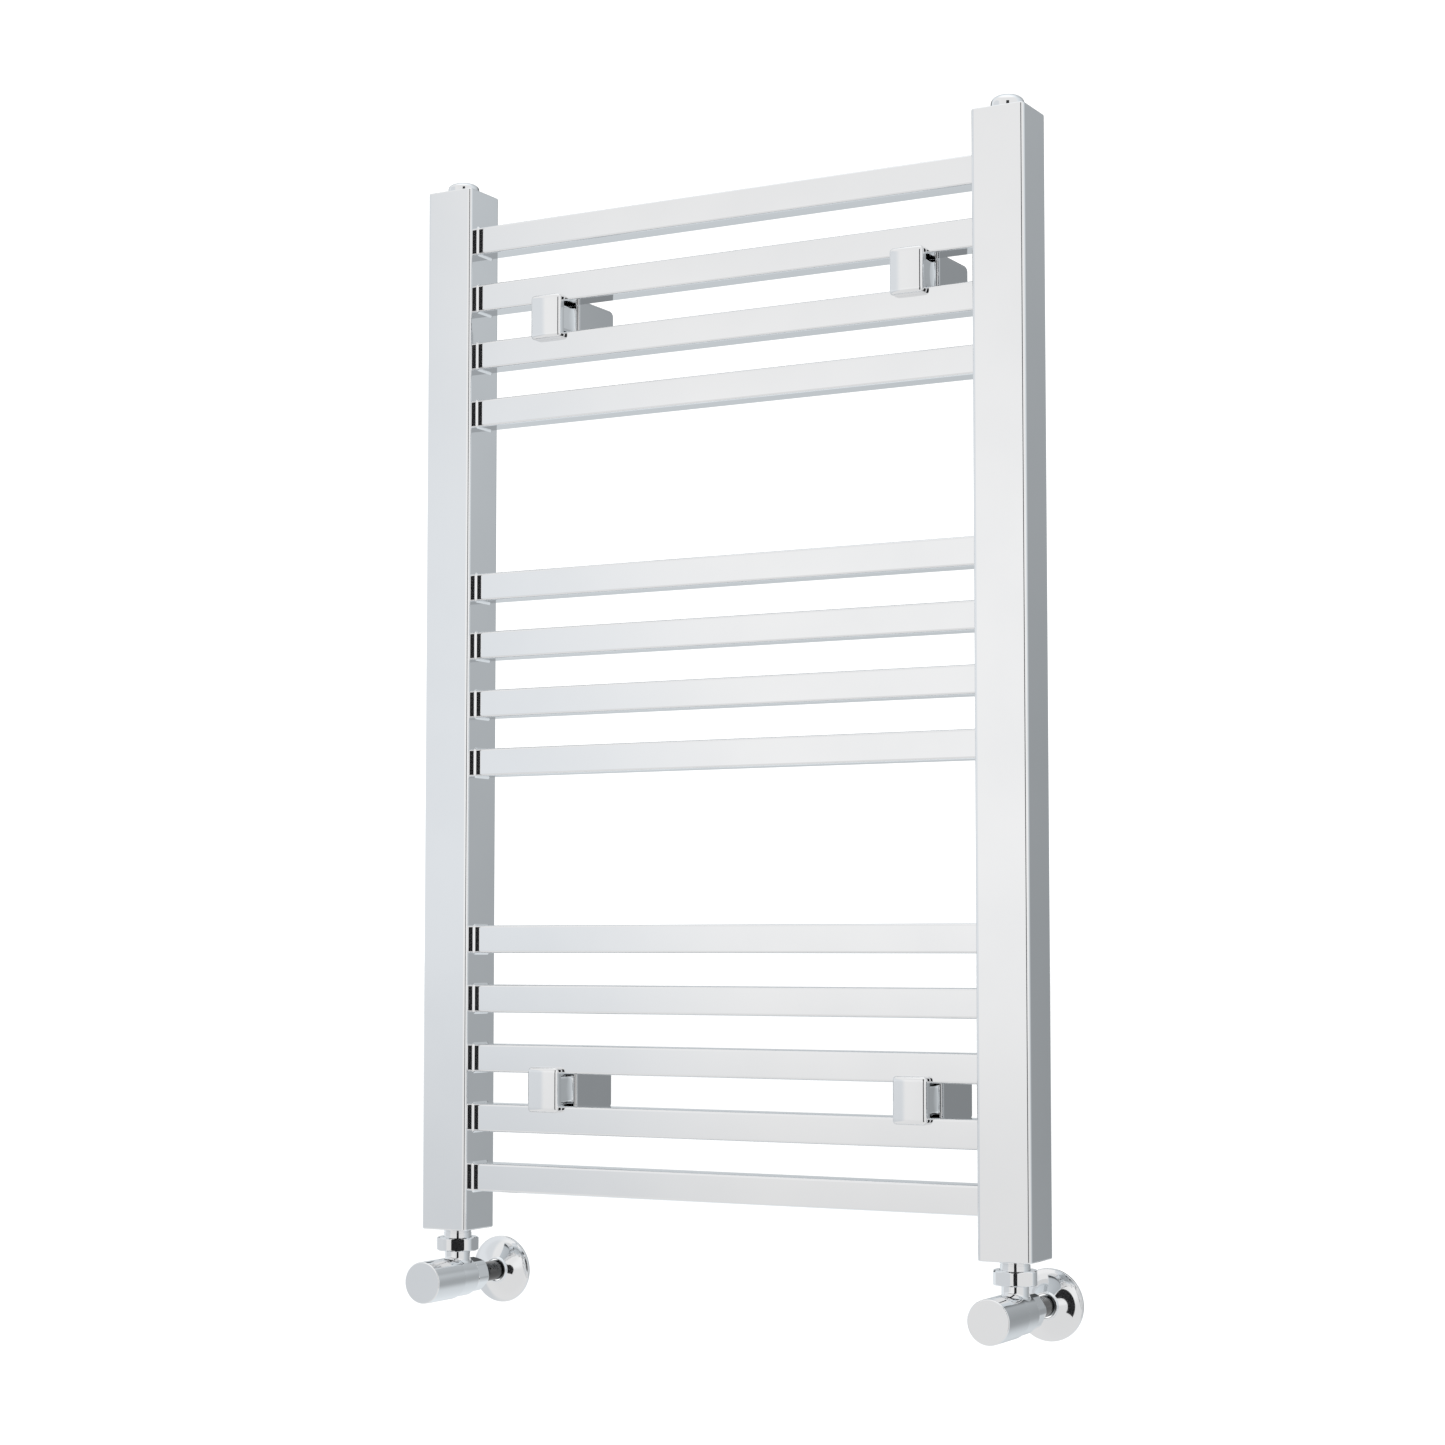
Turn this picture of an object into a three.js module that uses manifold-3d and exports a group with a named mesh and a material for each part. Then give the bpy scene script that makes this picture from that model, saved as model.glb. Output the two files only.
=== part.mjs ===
// A chrome ladder radiator with a pair of angle valves, hung on a wall by four clamp brackets.
// Millimetres. +Z is up, the room is towards -Y and the wall is the plane y = 0.
// The origin is on the wall, at the middle of the ladder's width and height.
import * as THREE from "three";
import { mergeVertices } from "three/addons/utils/BufferGeometryUtils.js";
import Module from "manifold-3d";

const wasm = await Module();
wasm.setup();

// ---- Driving dimensions -------------------------------------------------------------------

const overallWidth = 500; // over both uprights
const overallHeight = 800; // of the uprights
const wallToTube = 62; // from the wall to the middle of the tubes
const runningGap = 0.3; // between pieces that touch, slide or turn in each other
const facets = { fine: 28, plain: 20, small: 12 }; // round a turned surface

const tubeSide = 40; // square upright tube
const tubeWall = 1.5;
const tubeCorner = 3;
const tubeEndEdge = 1.2; // bevel round the ends
const endCap = 3; // thickness of the welded end plates
const portRadius = 10.8; // half-inch pipe thread in each end plate
const portBoss = { wall: 3.7, depth: 9 }; // behind the plate, round the thread

const barHeight = 21;
const barDepth = 20;
const barWall = 1.2;
const barCorner = 1.8;
const barEntry = 4; // how far a bar reaches into the upright
const endMargin = 40; // from the end of an upright to the nearest bar's middle
const barGroups = [4, 4, 5]; // from the top
const missingBars = 2; // places left empty between two groups

const plugLip = 1.2; // of a plug's flange past its port
const plugRim = 4.5; // straight side of a plug's head, under its dome
const ventHeight = 9.1;
const blankHeight = 11.2;
const plugDepth = 10; // length of thread inside the upright
const bleedRadius = 4.2;
const bleedKey = 5; // across the flats of the bleed screw's square

const leftBracketInset = 66; // from the left upright's inner face to the bracket's middle
const rightBracketInset = 52;
const upperBracketGap = 2; // the gap below bar 2
const lowerBracketGap = 11; // the gap below bar 11
const padWidth = 26.5;
const padOverlap = 5; // how far the pad laps over each bar
const padProud = 8; // from the bars' front to the pad's crown
const padCrown = 1.4; // rise of the crown over the pad's edges
const padOverhang = 1.25; // of the pad past each side of its neck
const neckPlay = 1.7; // between the neck and each bar
const sleeveWidth = 27;
const sleeveOverlap = 5.5;
const sleeveWall = 3;
const sleeveFront = 5; // thickness of the wall that clamps the bars
const sleeveCorner = 4;
const sleeveEdge = 1;
const clampScrew = { radius: 3, head: 5, headLength: 5, reach: 14, key: 5 };
const postLength = 32; // of the wall post inside the sleeve
const postScrew = { radius: 2.6, head: 5, sink: 3 };
const grubRadius = 2.5;
const grubLength = 5;
const grubFromWall = 12;

const valveReach = 47; // from the tubes' middle plane to the front of the head
const headPlay = 1.7; // between the head's wall and the nose inside it
const headGap = 0.5; // between the head and the visible body
const headWall = 2.3;
const headEdge = 1;
const bodyRadius = 14.6;
const bodyFront = 11; // from the outlet's middle to the front of the visible body
const bodyNose = 10; // length of the threaded nose under the head
const noseWall = 1.7;
const chamberRadius = 9.8;
const inletRadius = 5.5;
const outletRadius = 5.5;
const seatMargin = 0.5; // from the outlet's bore back to the seat
const seatLength = 3.5; // from the seat back to the pipe's end
const pipeShoulder = 0.5; // from the pipe's end back to the body's
const neckRadius = 9.5;
const neckDrop = 20.3; // from the union nut down to the valve's axis
const collarLength = 6; // of the thread under the union nut
const tailShow = 6.5; // tail seen between the upright and the nut
const tailWall = 3;
const tailFlange = { lap: 2.4, thickness: 2 };
// A nut's flats and corners are measured outwards from the thread inside it.
const unionNut = { flat: 2.1, corner: 3.05, height: 10.2, chamfer: 1.5, lip: 2.4 };
const unionNutTurn = { left: 4, right: 22 }; // degrees, as tightened
const inletNut = { flat: 2.1, corner: 3, height: 14.7, chamfer: 1.2, lip: 2.8 };
const nippleWall = 2.4;
const nippleLength = 6;
const pipeRadius = 7.5; // 15 mm supply pipe
const pipeWall = 0.8;
const escutcheonRadius = 25.5;
const escutcheonRim = 2;
const escutcheonHeight = 8;
const plateCollar = { wall: 2.1, height: 10.5 }; // round the pipe
const plateThickness = 1;

const shutterPlay = 2.6; // between the shutter and the chamber
const shutterLength = 10;
const shutterTravel = 4.5; // three turns at 1.5 mm a turn
const spindleRadius = 3;
const spindleCollar = 2; // step of the collar past the spindle
const bonnetFlange = { lap: 1, length: 3.6 }; // over the nose's end

// ---- Places worked out from them ----------------------------------------------------------

const topZ = overallHeight / 2;
const bottomZ = -topZ;
const tubeY = -wallToTube;
const leftTubeX = -(overallWidth - tubeSide) / 2;
const rightTubeX = -leftTubeX;
const innerFaceX = rightTubeX - tubeSide / 2;
const barFrontY = tubeY - barDepth / 2;
const barBackY = tubeY + barDepth / 2;

const threadRadius = portRadius - runningGap;
const plugRadius = portRadius + plugLip;
const neckWidth = padWidth - 2 * padOverhang;
const collarRadius = threadRadius + tailFlange.lap;
const tailBore = threadRadius - tailWall;
const noseRadius = chamberRadius + noseWall;
const headRadius = noseRadius + headPlay + headWall;
const flangeRadius = chamberRadius + bonnetFlange.lap;
const nippleRadius = pipeRadius + nippleWall;
const plateCollarRadius = pipeRadius + plateCollar.wall;

const places = barGroups.reduce((sum, count) => sum + count, 0) + missingBars * (barGroups.length - 1);
const pitch = (overallHeight - 2 * endMargin) / (places - 1);
const barZ = [];
let place = 0;
for (const count of barGroups) {
  for (let i = 0; i < count; i++) {
    barZ.push(topZ - endMargin - pitch * place);
    place += 1;
  }
  place += missingBars;
}

// ---- Materials ----------------------------------------------------------------------------

const finish = (color, roughness, metalness) => () =>
  new THREE.MeshStandardMaterial({ color, roughness, metalness });
const chrome = finish(0xdfe2e4, 0.06, 1);
const zincPlate = finish(0xb9bcc0, 0.35, 1);
const brass = finish(0xc9a24f, 0.3, 1);
const blackPlastic = finish(0x17181a, 0.45, 0);
const darkSteel = finish(0x3a3c3f, 0.4, 1);

// ---- Solids -------------------------------------------------------------------------------

function solid(geometry) {
  const bare = geometry.clone();
  bare.deleteAttribute("normal");
  bare.deleteAttribute("uv");
  const merged = mergeVertices(bare, 1e-4);
  return new wasm.Manifold(
    new wasm.Mesh({
      numProp: 3,
      vertProperties: new Float32Array(merged.attributes.position.array),
      triVerts: new Uint32Array(merged.index.array),
    }),
  );
}

function cut(stock, ...tools) {
  return tools.reduce((left, tool) => left.subtract(tool), stock);
}

function join(first, ...others) {
  return others.reduce((sum, other) => sum.add(other), first);
}

const root = new THREE.Group();

function piece(name, made, material) {
  const { vertProperties, triVerts } = made.getMesh();
  const geometry = new THREE.BufferGeometry();
  geometry.setAttribute("position", new THREE.BufferAttribute(vertProperties, 3));
  geometry.setIndex(new THREE.BufferAttribute(triVerts, 1));
  geometry.computeVertexNormals();
  const mesh = new THREE.Mesh(geometry, material());
  mesh.name = name;
  root.add(mesh);
  return mesh;
}

// A body turned about +Y through the origin; steps are [along, radius] from the front back.
function turned(steps, segments = facets.plain) {
  const first = steps[0];
  const last = steps[steps.length - 1];
  const profile = [[first[0], 0], ...steps, [last[0], 0]];
  const points = profile.map(([along, radius]) => new THREE.Vector2(radius, along));
  return new THREE.LatheGeometry(points, segments);
}

const turnedOnY = (steps, x, z, segments) => solid(turned(steps, segments).translate(x, 0, z));
const turnedOnZ = (steps, x, y, segments) =>
  solid(turned(steps, segments).rotateX(Math.PI / 2).translate(x, y, 0));

// A plain round rod along +Y or +Z, used as a boss or to cut a hole.
const rodY = (front, back, radius, x = 0, z = 0, segments = facets.plain) =>
  turnedOnY([[front, radius], [back, radius]], x, z, segments);
const rodZ = (low, high, radius, x = 0, y = 0, segments = facets.plain) =>
  turnedOnZ([[low, radius], [high, radius]], x, y, segments);

function roundedRectangle(width, height, radius) {
  const w = width / 2 - radius;
  const h = height / 2 - radius;
  const outline = new THREE.Shape();
  outline.moveTo(w, -h - radius);
  outline.absarc(w, -h, radius, -Math.PI / 2, 0);
  outline.absarc(w, h, radius, 0, Math.PI / 2);
  outline.absarc(-w, h, radius, Math.PI / 2, Math.PI);
  outline.absarc(-w, -h, radius, Math.PI, Math.PI * 1.5);
  return outline;
}

// An outline drawn in X and Z, given a depth from front to back along +Y.
function plate(outline, front, back, curveSegments = 2) {
  const options = extrusion(back - front, 0, curveSegments);
  return new THREE.ExtrudeGeometry(outline, options).rotateX(Math.PI / 2).translate(0, back, 0);
}

// A thickness with its outline drawn in or out by a bevel at both ends.
const extrusion = (length, edge, curveSegments) => ({
  depth: length - 2 * edge,
  bevelEnabled: edge > 0,
  bevelSize: edge,
  bevelThickness: edge,
  bevelOffset: -edge,
  bevelSegments: 1,
  curveSegments,
});

// An outline drawn in X and Y, given a height from low to high along +Z.
function column(outline, low, high, curveSegments = 2, edge = 0) {
  const options = extrusion(high - low, edge, curveSegments);
  return new THREE.ExtrudeGeometry(outline, options).translate(0, 0, low + edge);
}

// An outline drawn in Y and Z, given a width along X about the middle.
function slab(outline, width, edge, curveSegments = 2) {
  const options = extrusion(width, edge, curveSegments);
  return new THREE.ExtrudeGeometry(outline, options)
    .translate(0, 0, edge - width / 2)
    .rotateX(Math.PI / 2)
    .rotateZ(Math.PI / 2);
}

function polygon(sides, flats, turn = 0) {
  const corner = flats / 2 / Math.cos(Math.PI / sides);
  const outline = new THREE.Shape();
  for (let i = 0; i < sides; i++) {
    const angle = THREE.MathUtils.degToRad(turn) + ((i + 0.5) * 2 * Math.PI) / sides;
    outline[i ? "lineTo" : "moveTo"](corner * Math.cos(angle), corner * Math.sin(angle));
  }
  outline.closePath();
  return outline;
}

// ---- Uprights: square tube with a plate welded into each end ----------------------------------

function upright(name, x, inward) {
  const inner = tubeSide - 2 * tubeWall;
  const outside = column(roundedRectangle(tubeSide, tubeSide, tubeCorner), bottomZ, topZ, 3, tubeEndEdge);
  const inside = column(roundedRectangle(inner, inner, tubeCorner / 2), bottomZ + endCap, topZ - endCap, 1);
  const bosses = [
    [bottomZ, bottomZ + endCap + portBoss.depth],
    [topZ - endCap - portBoss.depth, topZ],
  ].map(([low, high]) => rodZ(low, high, portRadius + portBoss.wall, 0, 0, facets.small));
  const ports = [bottomZ, topZ].map((end) => {
    const reach = endCap + portBoss.depth + 1;
    return rodZ(end - reach, end + reach, portRadius);
  });
  const slotDepth = tubeWall + 1;
  const slots = barZ.map((z) => {
    const tool = new THREE.BoxGeometry(2 * slotDepth, barDepth + 2 * runningGap, barHeight + 2 * runningGap);
    return solid(tool.translate((inward * tubeSide) / 2, 0, z));
  });
  const hollow = cut(solid(inside), ...bosses);
  const made = cut(solid(outside), hollow, ...ports, ...slots);
  piece(name, made.translate(x, tubeY, 0), chrome);
}

upright("upright_left", leftTubeX, 1);
upright("upright_right", rightTubeX, -1);

// ---- Bars: rectangular tube, open into the uprights -------------------------------------------

barZ.forEach((z, index) => {
  const length = 2 * (innerFaceX + barEntry);
  const bore = length + 2;
  const inner = roundedRectangle(barDepth - 2 * barWall, barHeight - 2 * barWall, barCorner / 2);
  const outside = slab(roundedRectangle(barDepth, barHeight, barCorner), length, 0);
  const made = cut(solid(outside), solid(slab(inner, bore, 0, 1)));
  piece("bar_" + String(index + 1).padStart(2, "0"), made.translate(0, tubeY, z), chrome);
});

// ---- Top fittings: a bleed vent on the left and a blanking plug on the right ------------------

const plugSeat = topZ + runningGap;

// A plug turned in one piece: its thread, a straight rim, and a dome full at the shoulder.
function plug(x, height) {
  const steps = [[topZ - plugDepth, threadRadius], [plugSeat, threadRadius], [plugSeat, plugRadius]];
  for (let i = 0; i <= 5; i++) {
    const angle = (i / 5) * (Math.PI / 2) * 0.94;
    const rise = plugRim + (height - plugRim) * Math.sin(angle);
    steps.push([plugSeat + rise, plugRadius * Math.cos(angle) ** 0.6]);
  }
  return turnedOnZ(steps, x, tubeY);
}

const ventTop = plugSeat + ventHeight;
const vent = plug(leftTubeX, ventHeight);
const bleedHole = bleedRadius + runningGap;
const bleedFoot = topZ - plugDepth + 2;
const bleedBore = rodZ(bleedFoot - runningGap, ventTop + 1, bleedHole, leftTubeX, tubeY, facets.small);
const bleedPort = rodZ(topZ - plugDepth - 1, bleedFoot, 1.5, leftTubeX, tubeY, facets.small);
piece("vent_plug", cut(vent, bleedBore, bleedPort), chrome);

const bleedTop = ventTop + 0.2;
const bleedStem = turnedOnZ(
  [
    [bleedFoot, bleedRadius - 1],
    [bleedFoot + 1, bleedRadius],
    [bleedTop - 0.8, bleedRadius],
    [bleedTop, bleedRadius - 0.8],
  ],
  leftTubeX,
  tubeY,
  facets.plain,
);
const keySquare = column(polygon(4, bleedKey), bleedTop - 3.5, bleedTop + 1).translate(leftTubeX, tubeY, 0);
piece("bleed_screw", cut(bleedStem, solid(keySquare)), blackPlastic);

const blank = plug(rightTubeX, blankHeight);
piece("blanking_plug", blank, chrome);

// ---- Brackets: pad in front, sleeve behind, screw between them, post on the wall ---------------

function bracket(name, x, gap) {
  const above = barZ[gap - 1] - barHeight / 2;
  const below = barZ[gap] + barHeight / 2;
  const z = (above + below) / 2;
  const opening = above - below;

  const crownY = barFrontY - padProud;
  const padBack = barFrontY - runningGap;
  const padHalf = padWidth / 2;
  const cornerRound = 2.5;
  const plan = new THREE.Shape();
  plan.moveTo(-padHalf, padBack);
  plan.lineTo(-padHalf, crownY + padCrown + cornerRound);
  plan.quadraticCurveTo(-padHalf, crownY + padCrown, -padHalf + cornerRound, crownY + padCrown * 0.6);
  plan.quadraticCurveTo(0, crownY - padCrown * 0.6, padHalf - cornerRound, crownY + padCrown * 0.6);
  plan.quadraticCurveTo(padHalf, crownY + padCrown, padHalf, crownY + padCrown + cornerRound);
  plan.lineTo(padHalf, padBack);
  plan.closePath();
  const padHalfHeight = opening / 2 + padOverlap;
  const pad = column(plan, -padHalfHeight, padHalfHeight, 5);
  const neckBack = barBackY;
  const neck = plate(roundedRectangle(neckWidth, opening - 2 * neckPlay, 2), padBack - 1, neckBack);
  const holeRadius = clampScrew.radius + runningGap;
  const sleeveY = barBackY + runningGap;
  const holeFront = neckBack - clampScrew.reach - runningGap;
  const tapped = rodY(holeFront, neckBack + 1, holeRadius, 0, 0, facets.small);
  piece(name + "_pad", cut(join(solid(pad), solid(neck)), tapped).translate(x, 0, z), chrome);

  const sleeveBack = -2 * runningGap;
  const sleeveLength = sleeveBack - sleeveY;
  const sleeveHeight = opening + 2 * sleeveOverlap;
  const side = new THREE.Shape();
  const frontRound = 1.6;
  const backY = sleeveBack - sleeveCorner;
  const halfHeight = sleeveHeight / 2;
  side.moveTo(sleeveY + frontRound, -halfHeight);
  side.lineTo(backY, -halfHeight);
  side.absarc(backY, -halfHeight + sleeveCorner, sleeveCorner, -Math.PI / 2, 0);
  side.absarc(backY, halfHeight - sleeveCorner, sleeveCorner, 0, Math.PI / 2);
  side.lineTo(sleeveY + frontRound, halfHeight);
  side.absarc(sleeveY + frontRound, halfHeight - frontRound, frontRound, Math.PI / 2, Math.PI);
  side.absarc(sleeveY + frontRound, -halfHeight + frontRound, frontRound, Math.PI, Math.PI * 1.5);
  const block = solid(slab(side, sleeveWidth, sleeveEdge, 3));
  const cavityWidth = sleeveWidth - 2 * sleeveWall;
  const cavityHeight = sleeveHeight - 2 * sleeveWall;
  const cavityFront = sleeveY + sleeveFront;
  const cavity = solid(plate(roundedRectangle(cavityWidth, cavityHeight, 1.5), cavityFront, sleeveBack + 1));
  const through = rodY(sleeveY - 1, cavityFront + 1, holeRadius, 0, 0, facets.small);
  const grubClear = grubRadius + runningGap;
  const grubHoleTop = -halfHeight + sleeveWall + 1;
  const grubHole = rodZ(-halfHeight - 1, grubHoleTop, grubClear, 0, -grubFromWall, facets.small);
  piece(name + "_sleeve", cut(block, cavity, through, grubHole).translate(x, 0, z), chrome);

  const headFront = cavityFront + runningGap;
  const headBack = headFront + clampScrew.headLength;
  const screwTip = neckBack - clampScrew.reach;
  const shank = turnedOnY(
    [
      [screwTip, clampScrew.radius - 0.6],
      [screwTip + 0.8, clampScrew.radius],
      [headFront, clampScrew.radius],
      [headFront, clampScrew.head],
      [headBack - 0.5, clampScrew.head],
      [headBack, clampScrew.head - 0.5],
    ],
    0,
    0,
    facets.small,
  );
  const socket = solid(plate(polygon(6, clampScrew.key), headBack - 3, headBack + 1));
  piece(name + "_clamp_screw", cut(shank, socket).translate(x, 0, z), zincPlate);

  const postWidth = cavityWidth - 2 * runningGap;
  const postHeight = cavityHeight - 2 * runningGap;
  const postFront = -postLength;
  const post = solid(plate(roundedRectangle(postWidth, postHeight, 1.2), postFront, 0));
  const relief = solid(plate(roundedRectangle(postWidth - 6, postHeight - 6, 1), postFront - 1, -8));
  const wallHole = turnedOnY(
    [
      [-9, postScrew.head],
      [-8, postScrew.head],
      [-8 + postScrew.sink, postScrew.radius],
      [1, postScrew.radius],
    ],
    0,
    0,
    facets.small,
  );
  piece(name + "_wall_post", cut(post, relief, wallHole).translate(x, 0, z), zincPlate);

  const grubTop = -postHeight / 2 - runningGap;
  const grubBottom = Math.max(grubTop - grubLength, -halfHeight + 0.3);
  const grub = turnedOnZ(
    [[grubBottom, grubRadius], [grubTop - 0.6, grubRadius], [grubTop, grubRadius - 0.6]],
    0,
    -grubFromWall,
    facets.small,
  );
  const grubKey = column(polygon(6, grubRadius), grubBottom - 1, grubTop - 1);
  const grubSocket = solid(grubKey.translate(0, -grubFromWall, 0));
  piece(name + "_grub_screw", cut(grub, grubSocket).translate(x, 0, z), darkSteel);
}

for (const [level, gap] of [["upper", upperBracketGap], ["lower", lowerBracketGap]]) {
  bracket(`bracket_${level}_left`, -innerFaceX + leftBracketInset, gap);
  bracket(`bracket_${level}_right`, innerFaceX - rightBracketInset, gap);
}

// ---- Valves: angle pattern, pipe from the wall, outlet up into the upright ---------------------

// A hexagon nut along +Z or +Y: its corners are turned round and both its ends are chamfered.
function nut(size, thread, low, high, turn, alongY) {
  const corner = thread + size.corner;
  const chamferRadius = thread + size.flat - 0.4;
  const steps = [
    [low, chamferRadius],
    [low + size.chamfer, corner],
    [high - size.chamfer, corner],
    [high, chamferRadius],
  ];
  const outline = polygon(6, 2 * (thread + size.flat), turn);
  const blank = alongY ? plate(outline, low, high) : column(outline, low, high);
  const barrel = alongY ? turnedOnY(steps, 0, 0, facets.fine) : turnedOnZ(steps, 0, 0, facets.fine);
  return solid(blank).intersect(barrel);
}

function valve(name, x, nutTurn, headName) {
  const nutTop = bottomZ - tailShow;
  const nutBottom = nutTop - unionNut.height;
  const axisZ = nutBottom - neckDrop;
  const place = (made) => made.translate(x, 0, axisZ);
  const up = (z) => z - axisZ;

  // Tail: a threaded pipe that a flange at its foot holds under the nut's lip.
  const lipUnder = up(nutTop) - unionNut.lip;
  const flangeTop = lipUnder - runningGap;
  const flangeFoot = flangeTop - tailFlange.thickness;
  const boreOfNut = collarRadius + runningGap;
  const tailTop = up(bottomZ) + plugDepth;
  const tailOutside = turnedOnZ(
    [
      [flangeFoot, collarRadius],
      [flangeTop, collarRadius],
      [flangeTop, threadRadius],
      [tailTop, threadRadius],
    ],
    0,
    tubeY,
  );
  const tailHole = rodZ(flangeFoot - 1, tailTop + 1, tailBore, 0, tubeY);
  piece(name + "_tail", place(cut(tailOutside, tailHole)), chrome);

  const nutSolid = nut(unionNut, collarRadius, up(nutBottom), up(nutTop), nutTurn, false);
  const nutBlank = nutSolid.translate(0, tubeY, 0);
  const nutBore = rodZ(up(nutBottom) - 1, lipUnder, boreOfNut, 0, tubeY);
  const lipHole = threadRadius + runningGap;
  const nutLip = rodZ(lipUnder - 1, up(nutTop) + 1, lipHole, 0, tubeY);
  piece(name + "_union_nut", place(cut(nutBlank, nutBore, nutLip)), chrome);

  // Body: a turned barrel along the pipe with the outlet neck standing on it.
  const visibleFront = tubeY - bodyFront;
  const noseFront = visibleFront - bodyNose;
  const seatY = tubeY + outletRadius + seatMargin;
  const stopY = seatY + seatLength;
  const bodyEnd = stopY + pipeShoulder;
  const nippleEnd = bodyEnd + nippleLength;
  const barrel = turnedOnY(
    [
      [noseFront, noseRadius],
      [visibleFront, noseRadius],
      [visibleFront, bodyRadius],
      [bodyEnd, bodyRadius],
      [bodyEnd, nippleRadius],
      [nippleEnd, nippleRadius],
    ],
    0,
    0,
    facets.fine,
  );
  const collarTop = flangeFoot - runningGap;
  const collarFoot = Math.max(collarTop - collarLength, up(nutBottom) + 1);
  const neck = turnedOnZ(
    [
      [0, neckRadius],
      [collarFoot - 0.8, neckRadius],
      [collarFoot, collarRadius],
      [collarTop, collarRadius],
    ],
    0,
    tubeY,
  );
  const chamber = rodY(noseFront - 1, seatY, chamberRadius);
  const inlet = rodY(seatY - 1, stopY + 1, inletRadius);
  const socketRadius = pipeRadius + runningGap;
  const pipeSocket = rodY(stopY, nippleEnd + 1, socketRadius);
  const outlet = rodZ(chamberRadius / 2, collarTop + 1, outletRadius, 0, tubeY);
  piece(name + "_body", place(cut(join(barrel, neck), chamber, inlet, pipeSocket, outlet)), chrome);

  // Bonnet: screwed into the nose; the spindle turns in it and its flange seals the chamber.
  const shutterBack = seatY - runningGap;
  const shutterFront = shutterBack - shutterLength;
  const openFront = shutterFront - shutterTravel;
  const bonnetBack = openFront - 0.5;
  const bonnetFront = noseFront - runningGap - bonnetFlange.length;
  const spindleHole = spindleRadius + runningGap;
  const spindleCollarRadius = spindleRadius + spindleCollar;
  const collarPocket = spindleCollarRadius + runningGap;
  const pocketFront = bonnetBack - 3;
  const bonnetOutside = turnedOnY(
    [
      [bonnetFront, flangeRadius - 1],
      [bonnetFront + 1, flangeRadius],
      [noseFront - runningGap, flangeRadius],
      [noseFront - runningGap, chamberRadius - runningGap],
      [bonnetBack, chamberRadius - runningGap],
    ],
    0,
    0,
  );
  const bonnetHole = rodY(bonnetFront - 1, bonnetBack + 1, spindleHole, 0, 0, facets.small);
  const pocket = rodY(pocketFront, bonnetBack + 1, collarPocket);
  piece(name + "_bonnet", place(cut(bonnetOutside, bonnetHole, pocket)), brass);

  // Spindle: turned by the head, held by its collar, threaded into the shutter.
  const headFace = tubeY - valveReach;
  const spindleFront = bonnetFront - 8;
  const collarFront = pocketFront + runningGap;
  const threadTip = shutterBack - 2 - shutterTravel;
  const stubRadius = spindleRadius - 0.4;
  const spindleStock = turnedOnY(
    [
      [spindleFront, spindleRadius - 0.5],
      [spindleFront + 0.5, spindleRadius],
      [collarFront, spindleRadius],
      [collarFront, spindleCollarRadius],
      [bonnetBack - runningGap, spindleCollarRadius],
      [bonnetBack - runningGap, stubRadius],
      [threadTip, stubRadius],
    ],
    0,
    0,
    facets.small,
  );
  const squareEnd = solid(plate(polygon(4, spindleRadius * 1.5), spindleFront - 1, spindleFront + 7));
  const collarOfSquare = rodY(spindleFront + 6.9, threadTip + 1, 20, 0, 0, facets.small);
  piece(name + "_spindle", place(spindleStock.intersect(join(squareEnd, collarOfSquare))), brass);

  // Shutter: travels along the chamber on the spindle's thread and closes on the seat.
  const shutterRadius = chamberRadius - shutterPlay;
  const shutterStock = turnedOnY(
    [
      [shutterFront, shutterRadius - 1],
      [shutterFront + 1, shutterRadius],
      [shutterBack - 1, shutterRadius],
      [shutterBack, shutterRadius - 1],
    ],
    0,
    0,
    facets.plain,
  );
  const threadBore = stubRadius + runningGap;
  const shutterBore = rodY(shutterFront - 1, shutterBack - 1.7, threadBore, 0, 0, facets.small);
  piece(name + "_shutter", place(cut(shutterStock, shutterBore)), brass);

  // Head: a plain turned cup. The control valve's drives the spindle with a square hub.
  // The lockshield's is only a cover, pushed over the bonnet's flange.
  const headBack = visibleFront - headGap;
  const cupRadius = headRadius - headWall;
  const headStock = turnedOnY(
    [
      [headFace, headRadius - headEdge],
      [headFace + headEdge * 0.3, headRadius - headEdge * 0.3],
      [headFace + headEdge, headRadius],
      [headBack - 0.4, headRadius],
      [headBack, headRadius - 0.4],
    ],
    0,
    0,
    facets.fine,
  );
  const grip = flangeRadius + runningGap;
  const cupFront = headName === "cap" ? noseFront - runningGap : bonnetFront - 1;
  const cup = rodY(cupFront, headBack + 1, cupRadius, 0, 0, facets.fine);
  const gripHole = rodY(spindleFront - 3, cupFront + 1, grip, 0, 0, facets.fine);
  const drive = solid(
    plate(polygon(4, spindleRadius * 1.5 + 2 * runningGap), spindleFront - 1, spindleFront + 7 + runningGap),
  );
  const round = spindleRadius + runningGap;
  const hubHole = rodY(spindleFront + 7 - runningGap, cupFront + 1, round, 0, 0, facets.small);
  const hollow = headName === "cap" ? join(cup, gripHole) : join(cup, drive, hubHole);
  piece(name + "_" + headName, place(cut(headStock, hollow)), chrome);

  // Inlet joint: a nut squeezes an olive onto the pipe against the nipple's mouth.
  const nutFront = bodyEnd + runningGap;
  const nutBack = nutFront + inletNut.height;
  const lipFront = nutBack - inletNut.lip;
  const nippleHole = nippleRadius + runningGap;
  const inletBlank = nut(inletNut, nippleRadius, nutFront, nutBack, nutTurn + 12, true);
  const inletBore = rodY(nutFront - 1, lipFront, nippleHole);
  const pipeHole = rodY(lipFront - 1, nutBack + 1, socketRadius);
  piece(name + "_inlet_nut", place(cut(inletBlank, inletBore, pipeHole)), chrome);

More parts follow.
